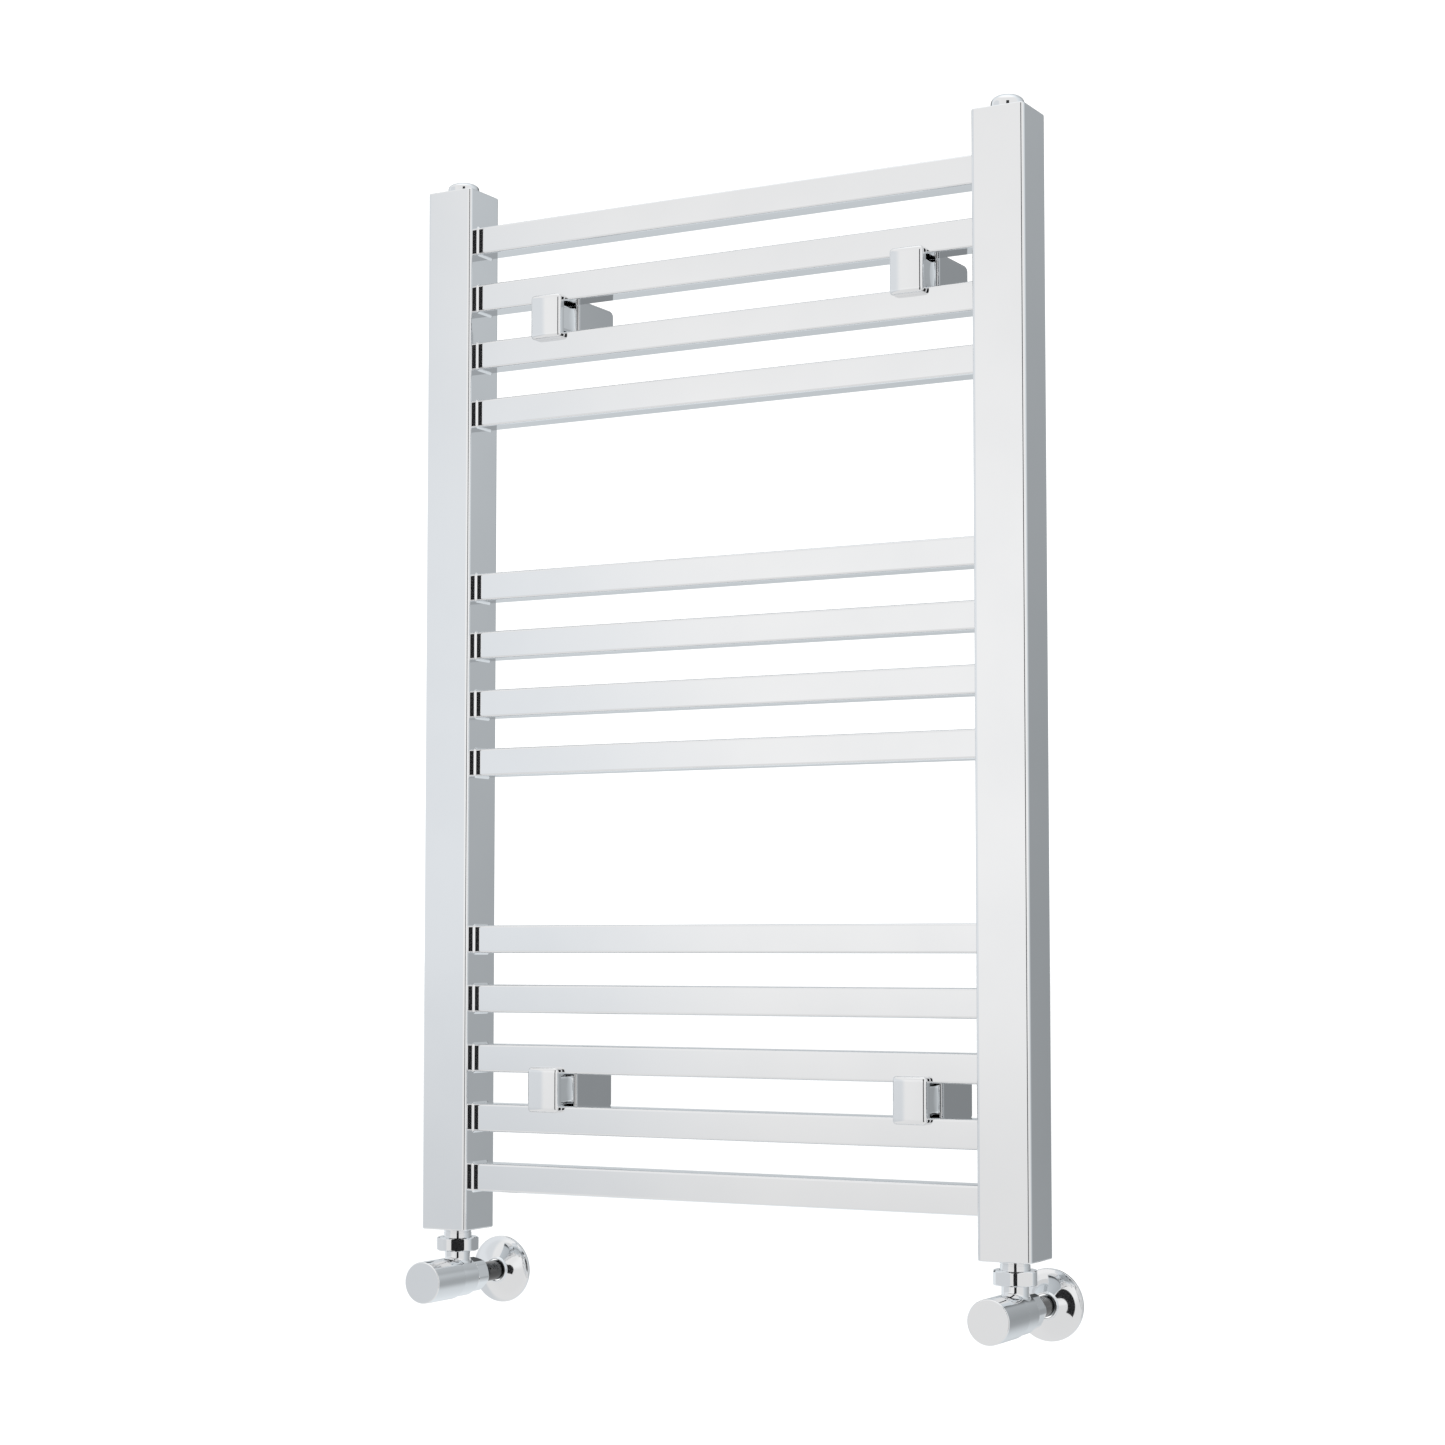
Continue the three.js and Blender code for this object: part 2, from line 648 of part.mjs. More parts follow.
  const oliveFront = nippleEnd + runningGap;
  const oliveBack = lipFront - runningGap;
  const olive = turnedOnY(
    [
      [oliveFront, nippleRadius - 1],
      [(oliveFront + oliveBack) / 2, nippleRadius - 0.1],
      [oliveBack, nippleRadius - 1],
    ],
    0,
    0,
    facets.plain,
  );
  const oliveHole = rodY(oliveFront - 1, oliveBack + 1, socketRadius);
  piece(name + "_olive", place(cut(olive, oliveHole)), brass);

  const pipeStart = stopY + runningGap;
  const pipe = rodY(pipeStart, 0, pipeRadius);
  const pipeBore = rodY(pipeStart - 1, 1, pipeRadius - pipeWall, 0, 0, facets.small);
  piece(name + "_inlet_pipe", place(cut(pipe, pipeBore)), chrome);

  // Escutcheon: a pressed plate on the wall with a collar round the pipe.
  const plateSteps = (inset, wallY) => {
    const steps = [[inset - plateCollar.height, plateCollarRadius - inset]];
    const rings = 5;
    for (let i = 0; i <= rings; i++) {
      const share = i / rings;
      const rise = escutcheonRim + (escutcheonHeight - escutcheonRim) * (1 - Math.sin((share * Math.PI) / 2));
      const radius = plateCollarRadius + (escutcheonRadius - plateCollarRadius) * share;
      steps.push([inset - rise, radius - inset]);
    }
    return [...steps, [wallY, escutcheonRadius - inset]];
  };
  const plateOutside = turnedOnY(plateSteps(0, 0), 0, 0, facets.fine);
  const plateInside = turnedOnY(plateSteps(plateThickness, 1), 0, 0, facets.plain);
  const collarHole = rodY(-plateCollar.height - 1, 1, socketRadius);
  piece(name + "_escutcheon", place(cut(plateOutside, plateInside, collarHole)), chrome);
}

valve("lockshield", leftTubeX, unionNutTurn.left, "cap");
valve("control", rightTubeX, unionNutTurn.right, "handle");

export default root;
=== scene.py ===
import math
import random

import bmesh
import bpy
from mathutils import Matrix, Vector


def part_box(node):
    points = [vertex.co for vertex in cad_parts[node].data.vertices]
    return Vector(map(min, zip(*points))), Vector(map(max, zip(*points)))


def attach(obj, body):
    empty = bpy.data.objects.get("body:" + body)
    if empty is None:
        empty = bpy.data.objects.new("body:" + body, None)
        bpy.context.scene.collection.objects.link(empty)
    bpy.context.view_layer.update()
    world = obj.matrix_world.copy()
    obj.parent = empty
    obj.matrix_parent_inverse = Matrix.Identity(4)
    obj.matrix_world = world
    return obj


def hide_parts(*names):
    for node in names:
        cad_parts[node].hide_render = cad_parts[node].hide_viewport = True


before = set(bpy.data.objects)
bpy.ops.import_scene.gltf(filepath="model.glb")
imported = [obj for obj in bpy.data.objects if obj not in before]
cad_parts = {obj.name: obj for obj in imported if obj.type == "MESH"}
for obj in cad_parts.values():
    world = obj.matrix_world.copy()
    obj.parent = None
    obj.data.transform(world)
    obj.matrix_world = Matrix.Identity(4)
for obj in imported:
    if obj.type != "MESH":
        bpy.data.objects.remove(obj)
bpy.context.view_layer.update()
MM = 0.001

# ---------------------------------------------------------------------------------------------
# Uprights. Two lengths of square steel tube, each closed by a plate welded into both ends, ground
# flush, polished and chromium plated. The plates carry the threaded ports for plugs and valves.

TUBE_CORNER = 3.0 * MM
TUBE_EDGE = 1.2 * MM
PORT_RADIUS = 10.8 * MM
PORT_DEPTH = 12 * MM


class Wire:
    """A node's output. Arithmetic on it adds the Math nodes that work it out."""

    def __init__(self, finish, socket):
        self.finish = finish
        self.socket = socket

    def math(self, operation, *values):
        inputs = dict(enumerate(values))
        return self.finish.node("ShaderNodeMath", {"operation": operation}, inputs)

    def __add__(self, other):
        return self.math("ADD", self, other)

    def __sub__(self, other):
        return self.math("SUBTRACT", self, other)

    def __rsub__(self, other):
        return self.math("SUBTRACT", other, self)

    def __mul__(self, other):
        return self.math("MULTIPLY", self, other)

    __radd__ = __add__
    __rmul__ = __mul__

    def clamped(self):
        return self.finish.node(
            "ShaderNodeMath", {"operation": "ADD", "use_clamp": True}, {0: self, 1: 0.0}
        )


class Finish:
    """A material whose nodes come from one method."""

    def __init__(self, name):
        self.material = bpy.data.materials.new(name)
        self.material.use_nodes = True
        self.tree = self.material.node_tree
        self.tree.nodes.clear()

    def node(self, kind, settings=(), inputs=(), output=None):
        made = self.tree.nodes.new(kind)
        for key, value in dict(settings).items():
            if key == "stops":
                stops = made.color_ramp.elements
                while len(stops) < len(value):
                    stops.new(1.0)
                for stop, (at, colour) in zip(stops, value):
                    stop.position = at
                    stop.color = colour
            else:
                setattr(made, key, value)
        for key, value in dict(inputs).items():
            socket = made.inputs[key] if isinstance(key, int) else self.named(made.inputs, key)
            if isinstance(value, Wire):
                self.tree.links.new(value.socket, socket)
            else:
                socket.default_value = value
        outputs = made.outputs
        if not outputs:
            return None
        chosen = self.named(outputs, output) if output else next(s for s in outputs if s.enabled)
        return Wire(self, chosen)

    @staticmethod
    def named(sockets, name):
        return next(s for s in sockets if s.name == name and s.enabled)

    def surface(self, **inputs):
        shader = self.node(
            "ShaderNodeBsdfPrincipled", {}, {k.replace("_", " "): v for k, v in inputs.items()}
        )
        self.node("ShaderNodeOutputMaterial", {}, {"Surface": shader})
        return self.material

    def place(self, scale=(1, 1, 1), offset=(0, 0, 0)):
        here = self.node("ShaderNodeTexCoord", {}, {}, "Object")
        return self.node("ShaderNodeMapping", {}, {"Vector": here, "Location": offset, "Scale": scale})

    def noise(self, scale, detail=3.0, stretch=(1, 1, 1), offset=(0, 0, 0)):
        inputs = {"Vector": self.place(stretch, offset), "Scale": scale, "Detail": detail}
        return self.node("ShaderNodeTexNoise", {}, inputs, "Fac")

    def mix(self, factor, first, second):
        inputs = {"Factor": factor, "A": first, "B": second}
        return self.node("ShaderNodeMix", {"data_type": "RGBA"}, inputs)

    def bump(self, height, strength, distance):
        inputs = {"Height": height, "Strength": strength, "Distance": distance}
        return self.node("ShaderNodeBump", {}, inputs, "Normal")


def polished_chrome(name, along=(1, 1, 1), wave=1.0, offset=(0, 0, 0), depth=1.0):
    """Bright chromium plate: faint waves left by polishing, wipe marks and dried water spots.
    A depth under 1 is painted shade: it darkens the plate of the pipes and the bracket sleeves to stand in
    for the dark surroundings they reflect."""
    f = Finish(name)
    smear = f.noise(14, 5, offset=offset)
    wipes = f.noise(260, 2, along, offset)
    spots = f.node(
        "ShaderNodeTexVoronoi", {}, {"Vector": f.place((1, 1, 1), offset), "Scale": 130}, "Distance"
    )
    spot = (1 - spots * 9).clamped()
    haze = ((smear - 0.42) * 3.2).clamped()
    roughness = 0.028 + haze * 0.035 + wipes * 0.018 + spot * 0.05
    # depth scales both colours down; under 1 this is painted shade, not a different plate.
    clean = (0.885 * depth, 0.889 * depth, 0.896 * depth, 1)
    dulled = (0.84 * depth, 0.848 * depth, 0.858 * depth, 1)
    colour = f.mix((haze * 0.5 + spot * 0.25).clamped(), clean, dulled)
    slow = f.noise(16, 1, along, offset)
    fine = f.noise(240, 2, along, offset)
    waves = f.bump(slow * wave + fine * 0.03, 1.0, 0.00009)
    return f.surface(Base_Color=colour, Metallic=1.0, Roughness=roughness, Normal=waves)


def fillet(points, radius, closed=False, steps=5):
    """An outline in a plane whose corners become arcs; radius is one number or one a corner."""
    points = [Vector(p) for p in points]
    out = []
    for i, point in enumerate(points):
        r = radius[i] if isinstance(radius, (list, tuple)) else radius
        if not r or (not closed and i in (0, len(points) - 1)):
            out.append(point)
            continue
        back = (points[i - 1] - point).normalized()
        on = (points[(i + 1) % len(points)] - point).normalized()
        half = back.angle(on) / 2
        centre = point + (back + on).normalized() * (r / math.sin(half))
        start = point + back * (r / math.tan(half)) - centre
        end = point + on * (r / math.tan(half)) - centre
        sweep = start.angle(end)
        for k in range(steps + 1):
            share = k / steps
            arm = start * math.sin((1 - share) * sweep) + end * math.sin(share * sweep)
            out.append(centre + arm / math.sin(sweep))
    return out


def rounded_rectangle(width, height, radius, steps=7, across=1):
    """The outline of a plate; across divides each of its straight sides."""
    w, h = width / 2, height / 2
    corners = fillet([(w, -h), (w, h), (-w, h), (-w, -h)], radius, closed=True, steps=steps)
    if across == 1:
        return corners
    out = []
    for i, point in enumerate(corners):
        out.append(point)
        if i % (steps + 1) == steps:
            following = corners[(i + 1) % len(corners)]
            out += [point.lerp(following, k / across) for k in range(1, across)]
    return out


def piece(name, vertices, faces, finish, body, *nodes, slot="chrome", sharp=38):
    """A smooth mesh with crisp flats, riding on its body in place of the named nodes."""
    mesh = bpy.data.meshes.new(name)
    mesh.from_pydata([tuple(v) for v in vertices], [], faces)
    shape = bmesh.new()
    shape.from_mesh(mesh)
    bmesh.ops.remove_doubles(shape, verts=shape.verts, dist=1e-7)
    bmesh.ops.recalc_face_normals(shape, faces=shape.faces)
    for face in shape.faces:
        face.smooth = True
    for edge in shape.edges:
        edge.smooth = len(edge.link_faces) == 2 and edge.calc_face_angle() < math.radians(sharp)
    shape.to_mesh(mesh)
    shape.free()
    mesh.materials.append(finish)
    made = bpy.data.objects.new(name, mesh)
    bpy.context.scene.collection.objects.link(made)
    weighted = made.modifiers.new("crisp flats", "WEIGHTED_NORMAL")
    weighted.keep_sharp = True
    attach(made, body)
    if nodes:
        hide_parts(*nodes)
    return made


def skin(rings, cap_start=True, cap_end=True, loop=False):
    """Vertices and faces of a surface through rings that have the same number of points."""
    count = len(rings[0])
    vertices = [v for ring in rings for v in ring]
    faces = []
    for k in range(len(rings) if loop else len(rings) - 1):
        low, high = k * count, (k + 1) % len(rings) * count
        for i in range(count):
            j = (i + 1) % count
            faces.append((low + i, low + j, high + j, high + i))
    if not loop and cap_start:
        faces.append(tuple(reversed(range(count))))
    if not loop and cap_end:
        faces.append(tuple(range((len(rings) - 1) * count, len(rings) * count)))
    return vertices, faces


def square_ring(x, y, z, side, inset):
    """The tube's outline at a height, drawn in by inset where its end is eased."""
    ring = rounded_rectangle(side - 2 * inset, side - 2 * inset, TUBE_CORNER - inset * 0.9, 8)
    return [(x + p.x, y + p.y, z) for p in ring]


def round_ring_like(ring, x, y, z, radius):
    """A circle whose points lie at the same angles as the ring's, so that the two skin cleanly."""
    angles = [math.atan2(p[1] - y, p[0] - x) for p in ring]
    return [(x + radius * math.cos(a), y + radius * math.sin(a), z) for a in angles]


for side in ("left", "right"):
    low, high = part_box("upright_" + side)
    tube_side = high.x - low.x
    x, y = (low.x + high.x) / 2, (low.y + high.y) / 2
    pattern = square_ring(x, y, 0, tube_side, 0)
    rings = []
    for end, inward in ((low.z, 1), (high.z, -1)):
        part = [
            round_ring_like(pattern, x, y, end + inward * PORT_DEPTH, PORT_RADIUS),
            round_ring_like(pattern, x, y, end + inward * 0.5 * MM, PORT_RADIUS),
            round_ring_like(pattern, x, y, end, PORT_RADIUS + 0.5 * MM),
        ]
        for k in range(7):
            turn = k / 6 * math.pi / 2
            inset = TUBE_EDGE * (1 - math.sin(turn))
            z = end + inward * TUBE_EDGE * (1 - math.cos(turn))
            part.append(square_ring(x, y, z, tube_side, inset))
        rings += part if inward == 1 else part[::-1]
    tube_chrome = polished_chrome("upright chrome " + side, (1, 1, 0.04), 1.0, (x, 0, 0))
    piece(f"upright_{side}_tube", *skin(rings), tube_chrome, "radiator", "upright_" + side)

# ---------------------------------------------------------------------------------------------
# Bars. Rectangular steel tube let into slots in the uprights and welded all round. The weld is
# dressed to a small hollow fillet before plating, and is never quite even.

BAR_CORNER = 1.8 * MM
WELD = 1.3 * MM

uprights_inner_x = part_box("upright_right")[0].x
bar_names = sorted(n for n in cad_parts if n.startswith("bar_"))
for number, node in enumerate(bar_names):
    low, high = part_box(node)
    depth, height = high.y - low.y, high.z - low.z
    y, z = (low.y + high.y) / 2, (low.z + high.z) / 2
    chance = random.Random(100 + number)
    rings = []

    def bar_ring(x, flare, unevenness):
        ring = rounded_rectangle(depth + 2 * flare, height + 2 * flare, BAR_CORNER + flare * 0.6, 6)
        out = []
        for i, p in enumerate(ring):
            swell = 1 + unevenness * flare / WELD * math.sin(i * 0.9 + phase)
            out.append((x, y + p.x * swell, z + p.y * swell))
        return out

    for way in (-1, 1):
        phase = chance.uniform(0, 6)
        part = [bar_ring(way * high.x, 0, 0)]
        for k in range(7):
            turn = k / 6 * math.pi / 2
            x = way * (uprights_inner_x - WELD * math.sin(turn) + 0.1 * MM)
            part.append(bar_ring(x, WELD * (1 - math.sin(turn)) if k < 6 else 0, 0.006))
        rings += part if way == -1 else part[::-1]
    offset = (number * 1.7, 0, 0)
    bar_chrome = polished_chrome("bar chrome %02d" % (number + 1), (0.12, 1, 1), 0.8, offset)
    piece(node + "_tube", *skin(rings), bar_chrome, "radiator", node)

# ---------------------------------------------------------------------------------------------
# Top fittings. Turned brass plugs, chrome plated, screwed into the upper ports: an air vent with a
# black bleed screw in a copper seat on the left, and a domed blanking plug on the right.

PLUG_RIM = 4.8 * MM


def ring_about(centre, axis, along, reach, count, phase=0.0):
    """Points round an axis through centre. reach is a radius, or gives one for an angle."""
    ring = []
    for i in range(count):
        angle = 2 * math.pi * (i + phase) / count
        radius = reach(angle) if callable(reach) else reach
        u, v = radius * math.cos(angle), radius * math.sin(angle)
        ring.append(Vector(centre) + (Vector((u, along, v)) if axis == "Y" else Vector((u, v, along))))
    return ring


def square_reach(half):
    """How far a square's side is from its middle in a direction."""
    return lambda angle: half / max(abs(math.cos(angle)), abs(math.sin(angle)))


def turned(name, profile, centre, axis, finish, body, *nodes, slot="chrome", segments=96, closed=False):
    """A profile of (along, radius) turned round an axis through centre; closed makes a ring."""
    rings = [ring_about(centre, axis, along, max(radius, 1e-6), segments) for along, radius in profile]
    vertices, faces = skin(rings, cap_start=not closed, cap_end=not closed, loop=closed)
    return piece(name, vertices, faces, finish, body, *nodes, slot=slot)


PORT_THREAD = PORT_RADIUS - 0.3 * MM
fittings_chrome = polished_chrome("fittings chrome", (1, 1, 1), 0.25, (3, 1, 2))

low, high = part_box("vent_plug")
port_x, port_y = (low.x + high.x) / 2, (low.y + high.y) / 2
upright_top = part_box("upright_left")[1].z
plug_radius = (high.x - low.x) / 2
screw_low, screw_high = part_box("bleed_screw")
screw_radius = (screw_high.x - screw_low.x) / 2
recess = high.z - 1.2 * MM


def plug_dome(rim, top, radius, least):
    """A plug's dome from its rim to its crown, full at the shoulder and nearly flat on top."""
    points = []
    for k in range(29):
        turn = (1 - (1 - k / 28) ** 2) * math.pi / 2
        across = radius * abs(math.cos(turn)) ** 0.6
        if across > least:
            points.append(Vector((rim + (top - rim) * math.sin(turn), across)))
    return points


def plug_side(foot, radius):
    """A plug's thread in the port, then its straight rim standing on the upright's end."""
    outline = [
        (foot, 0),
        (foot, PORT_THREAD),
        (upright_top, PORT_THREAD),
        (upright_top, radius),
        (plug_rim - 0.1 * MM, radius),
    ]
    return fillet(outline, [0, 0.5 * MM, 0, 0.4 * MM, 0])


plug_rim = upright_top + PLUG_RIM
screw_bore = screw_radius + 0.2 * MM
vent_mouth = [
    Vector((high.z, screw_radius + 1.0 * MM)),
    Vector((high.z, screw_radius + 0.8 * MM)),
    Vector((recess, screw_radius + 0.7 * MM)),
    Vector((recess, screw_bore)),
    Vector((screw_low.z - 0.3 * MM, screw_bore)),
    Vector((screw_low.z - 0.3 * MM, 0)),
]
vent_dome = plug_dome(plug_rim, high.z, plug_radius, screw_radius + 1.2 * MM)
vent_profile = plug_side(low.z, plug_radius) + vent_dome + vent_mouth
left_port = (port_x, port_y, 0)
turned("vent_plug_turned", vent_profile, left_port, "Z", fittings_chrome, "radiator", "vent_plug")


def turned_brass(name, warmth=0.0):
    """Machined brass: fine turning lines, a little tarnish and warmer patches."""
    f = Finish(name)
    tarnish = ((f.noise(70, 4) - 0.4) * 2.2).clamped()
    lines = f.noise(1500, 1, (0.05, 1, 0.05))
    bright = (0.80, 0.60 - warmth, 0.29 - warmth * 0.6, 1)
    dull = (0.52, 0.34 - warmth * 0.5, 0.15, 1)
    colour = f.mix(tarnish * 0.6, bright, dull)
    roughness = 0.2 + tarnish * 0.22 + lines * 0.08
    bump = f.bump(lines, 0.5, 0.00003)
    return f.surface(Base_Color=colour, Metallic=1.0, Roughness=roughness, Normal=bump)


seat_profile = fillet(
    [
        (recess, screw_radius + 0.1 * MM),
        (recess, screw_radius + 0.7 * MM),
        (high.z + 0.2 * MM, screw_radius + 0.75 * MM),
        (high.z + 0.2 * MM, screw_radius + 0.1 * MM),
    ],
    0.15 * MM,
    closed=True,
)
copper = turned_brass("vent seat copper", 0.16)
turned("vent_seat_ring", seat_profile, left_port, "Z", copper, "radiator", slot="brass", closed=True)


def moulded_plastic(name):
    """Black nylon: a fine moulded grain, scuffed lighter where a key has rubbed it."""
    f = Finish(name)
    grain = f.noise(1400, 3)
    scuff = ((f.noise(420, 5, offset=(5, 2, 1)) - 0.58) * 6).clamped()
    colour = f.mix(scuff * 0.4, (0.012, 0.012, 0.014, 1), (0.06, 0.06, 0.065, 1))
    bump = f.bump(grain, 0.4, 0.00004)
    return f.surface(Base_Color=colour, Roughness=0.34 + grain * 0.18 + scuff * 0.1, Normal=bump)


KEY_HALF = 2.5 * MM
KEY_DEPTH = 3.5 * MM
SCREW_POINTS = 64
screw_rings = []
for along, radius in (
    (screw_low.z, screw_radius - 1 * MM),
    (screw_low.z + 1 * MM, screw_radius),
    (screw_high.z - 0.9 * MM, screw_radius),
    (screw_high.z - 0.5 * MM, screw_radius - 0.15 * MM),
    (screw_high.z - 0.15 * MM, screw_radius - 0.5 * MM),
    (screw_high.z, screw_radius - 0.9 * MM),
):
    screw_rings.append(ring_about(left_port, "Z", along, radius, SCREW_POINTS, 0.5))
for along in (screw_high.z, screw_high.z - KEY_DEPTH):
    screw_rings.append(ring_about(left_port, "Z", along, square_reach(KEY_HALF), SCREW_POINTS, 0.5))
piece(
    "bleed_screw_moulded",
    *skin(screw_rings),
    moulded_plastic("bleed screw nylon"),
    "bleed_screw",
    "bleed_screw",
    slot="black_plastic",
)

low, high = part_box("blanking_plug")
plug_radius = (high.x - low.x) / 2
blank_profile = plug_side(low.z, plug_radius) + plug_dome(plug_rim, high.z, plug_radius, -1)
right_port = ((low.x + high.x) / 2, port_y, 0)
turned("blanking_plug_turned", blank_profile, right_port, "Z", fittings_chrome, "radiator", "blanking_plug")

# ---------------------------------------------------------------------------------------------
# Wall brackets. A cast zinc pad clamps two bars from the front, with a neck between them that sweeps
# out at its end; a screw from behind pulls it to a plated sleeve that slides over a post on the wall.

PAD_ROUND = 3.2 * MM
PAD_CROWN = 1.3 * MM
NECK_WIDTH = 24 * MM
NECK_HEIGHT = 20.4 * MM
NECK_SWEEP = 1.5 * MM
NECK_SWEEP_LENGTH = 4.5 * MM
NECK_BOW = 3.2 * MM
NECK_BEAD = 1.2 * MM
SLEEVE_FRONT_ROUND = 2.8 * MM
SLEEVE_REAR_ROUND = 4 * MM
SLEEVE_WALL = 3 * MM

bar_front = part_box("bar_01")[0].y
pad_chrome = polished_chrome("bracket pad chrome", (1, 1, 1), 0.5, (1, 4, 2))
# The sleeves' plate is darkened to 0.7 of bright chrome: painted shade standing in for the dark parts the
# sleeves reflect.
sleeve_chrome_painted_shade = polished_chrome("bracket sleeve chrome", (1, 0.3, 1), 0.5, (2, 5, 1), 0.7)


def zinc_plate(name):
    """Bright zinc on turned or pressed steel: cloudy, a little blue, dulled in patches."""
    f = Finish(name)
    cloud = f.noise(90, 5)
    bright = ((cloud - 0.35) * 2.4).clamped()
    colour = f.mix(bright, (0.50, 0.51, 0.52, 1), (0.70, 0.72, 0.76, 1))
    fine = f.noise(900, 2)
    roughness = 0.42 - bright * 0.14 + fine * 0.08
    return f.surface(Base_Color=colour, Metallic=1.0, Roughness=roughness, Normal=f.bump(fine, 0.4, 0.00004))


def black_steel(name):
    """Oil-blacked alloy steel with bright rubbed edges in places."""
    f = Finish(name)
    rub = ((f.noise(500, 4) - 0.55) * 5).clamped()
    colour = f.mix(rub * 0.5, (0.05, 0.05, 0.055, 1), (0.26, 0.26, 0.27, 1))
    return f.surface(Base_Color=colour, Metallic=0.9, Roughness=0.4 - rub * 0.12)


bracket_zinc = zinc_plate("bracket zinc plate")
grub_steel = black_steel("grub screw steel")


def upright_ring(outline, x, y, z):
    """An outline drawn across and up, standing at depth y; y may follow the outline's points."""
    return [(x + p.x, y(p) if callable(y) else y, z + p.y) for p in outline]


def hexagon_reach(angle, flats, turn=0.0):
    """How far a hexagon's side is from its middle in a direction."""
    sixth = math.pi / 3
    off = (angle - turn + sixth / 2) % sixth - sixth / 2
    return flats / 2 / math.cos(off)


def socket_screw(name, steps, centre, key, key_depth, finish, slot, node, axis="Y"):
    """A turned screw whose head, at the end of the steps, has a hexagon socket."""
    rings = [ring_about(centre, axis, along, radius, 72) for along, radius in steps]
    end = steps[-1][0]
    way = 1 if end > steps[0][0] else -1
    for along in (end, end - way * key_depth):
        rings.append(ring_about(centre, axis, along, lambda angle: hexagon_reach(angle, key), 72))
    return piece(name, *skin(rings), finish, "radiator", node, slot=slot)


def bracket(prefix):
    low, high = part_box(prefix + "_pad")
    x, z = (low.x + high.x) / 2, (low.z + high.z) / 2
    width, height = high.x - low.x, high.z - low.z
    front, neck_back = low.y, high.y
    sleeve_low, sleeve_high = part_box(prefix + "_sleeve")

    def crowned(y, share=1.0):
        return lambda p: y + share * PAD_CROWN * (p.x / (width / 2)) ** 2

    def bowed(y, bow):
        return lambda p: y - bow * (1 - (p.y / (NECK_HEIGHT / 2)) ** 2)

    def pad_ring(w, h, r, y):
        return upright_ring(rounded_rectangle(w, h, r, 6, 14), x, y, z)

    # The crown is a net of strips, so it starts from a flat loop squeezed into a line.
    rings = []
    for k in range(15):
        share = (k + 0.02) / 14
        w, h = (width - 2 * PAD_ROUND) * share, (height - 2 * PAD_ROUND) * share
        rings.append(pad_ring(w, h, 1.6 * MM * share, crowned(front)))
    for k in range(1, 10):
        turn = k / 9 * math.pi / 2
        inset = PAD_ROUND * (1 - math.sin(turn))
        y = front + PAD_ROUND * (1 - math.cos(turn))
        corner = 1.6 * MM + 1.6 * MM * k / 9
        crown = crowned(y, 1 - 0.4 * k / 9)
        rings.append(pad_ring(width - 2 * inset, height - 2 * inset, corner, crown))
    back = bar_front
    for y, w, h, r in (
        (back - 0.9 * MM, width, height, 3.0 * MM),
        (back - 0.35 * MM, width - 0.3 * MM, height - 0.3 * MM, 2.9 * MM),
        (back, width - 1.0 * MM, height - 1.0 * MM, 2.6 * MM),
    ):
        rings.append(pad_ring(w, h, r, y))
    for k in range(7):
        turn = k / 6 * math.pi / 2
        flare = 1 - math.sin(turn)
        w = NECK_WIDTH - 2 * NECK_SWEEP + 1.8 * MM * flare
        h = NECK_HEIGHT + 5.0 * MM * flare
        rings.append(pad_ring(w, h, 2.2 * MM, back + 2.6 * MM * (1 - math.cos(turn))))

    # The neck runs straight, then sweeps out in a hollow that bows at mid-height, and ends in a bead.
    for k in range(13):
        turn = k / 12 * math.pi / 2
        w = NECK_WIDTH - 2 * NECK_SWEEP * math.cos(turn)
        y = neck_back - 1.6 * MM - NECK_SWEEP_LENGTH * (1 - math.sin(turn))
        rings.append(pad_ring(w, NECK_HEIGHT, 2.2 * MM, bowed(y, NECK_BOW * (1 - k / 12))))
    for k in range(1, 6):
        turn = k / 5 * math.pi / 2
        w = NECK_WIDTH - NECK_BEAD * (1 - math.cos(turn))
        rings.append(pad_ring(w, NECK_HEIGHT, 2.0 * MM, neck_back - NECK_BEAD + NECK_BEAD * math.sin(turn)))
    piece(prefix + "_pad_cast", *skin(rings), pad_chrome, "radiator", prefix + "_pad", sharp=50)

    # The sleeve: outside from front to back, over the mouth, and back down the inside.
    width, height = sleeve_high.x - sleeve_low.x, sleeve_high.z - sleeve_low.z
    front, back = sleeve_low.y, sleeve_high.y
    rings = []
    for k in range(11):
        turn = k / 10 * math.pi / 2
        inset = SLEEVE_FRONT_ROUND * (1 - math.sin(turn))
        ring = rounded_rectangle(width - 2 * inset, height - 2 * inset, 2.2 * MM - inset * 0.6, 6)
        rings.append(upright_ring(ring, x, front + SLEEVE_FRONT_ROUND * (1 - math.cos(turn)), z))
    for k in range(11):
        share = k / 10
        turn = share * math.pi / 2
        drop = SLEEVE_REAR_ROUND * (1 - math.cos(turn))
        y = back - SLEEVE_REAR_ROUND + SLEEVE_REAR_ROUND * math.sin(turn)
        w, h = width - 0.5 * MM * share**8, height - 2 * drop * 0.94
        ring = rounded_rectangle(w, h, 2.2 * MM - 0.8 * MM * share, 6)
        rings.append(upright_ring(ring, x, y, z))
    inner = rounded_rectangle(width - 2 * SLEEVE_WALL, height - 2 * SLEEVE_REAR_ROUND, 1.4 * MM, 6)
    deep = rounded_rectangle(width - 2 * SLEEVE_WALL, height - 2 * SLEEVE_WALL, 1.4 * MM, 6)
    rings.append(upright_ring(inner, x, back, z))
    rings.append(upright_ring(deep, x, back - 1.6 * MM, z))
    rings.append(upright_ring(deep, x, front + 5 * MM, z))
    piece(prefix + "_sleeve_plated", *skin(rings), sleeve_chrome_painted_shade, "radiator", prefix + "_sleeve")

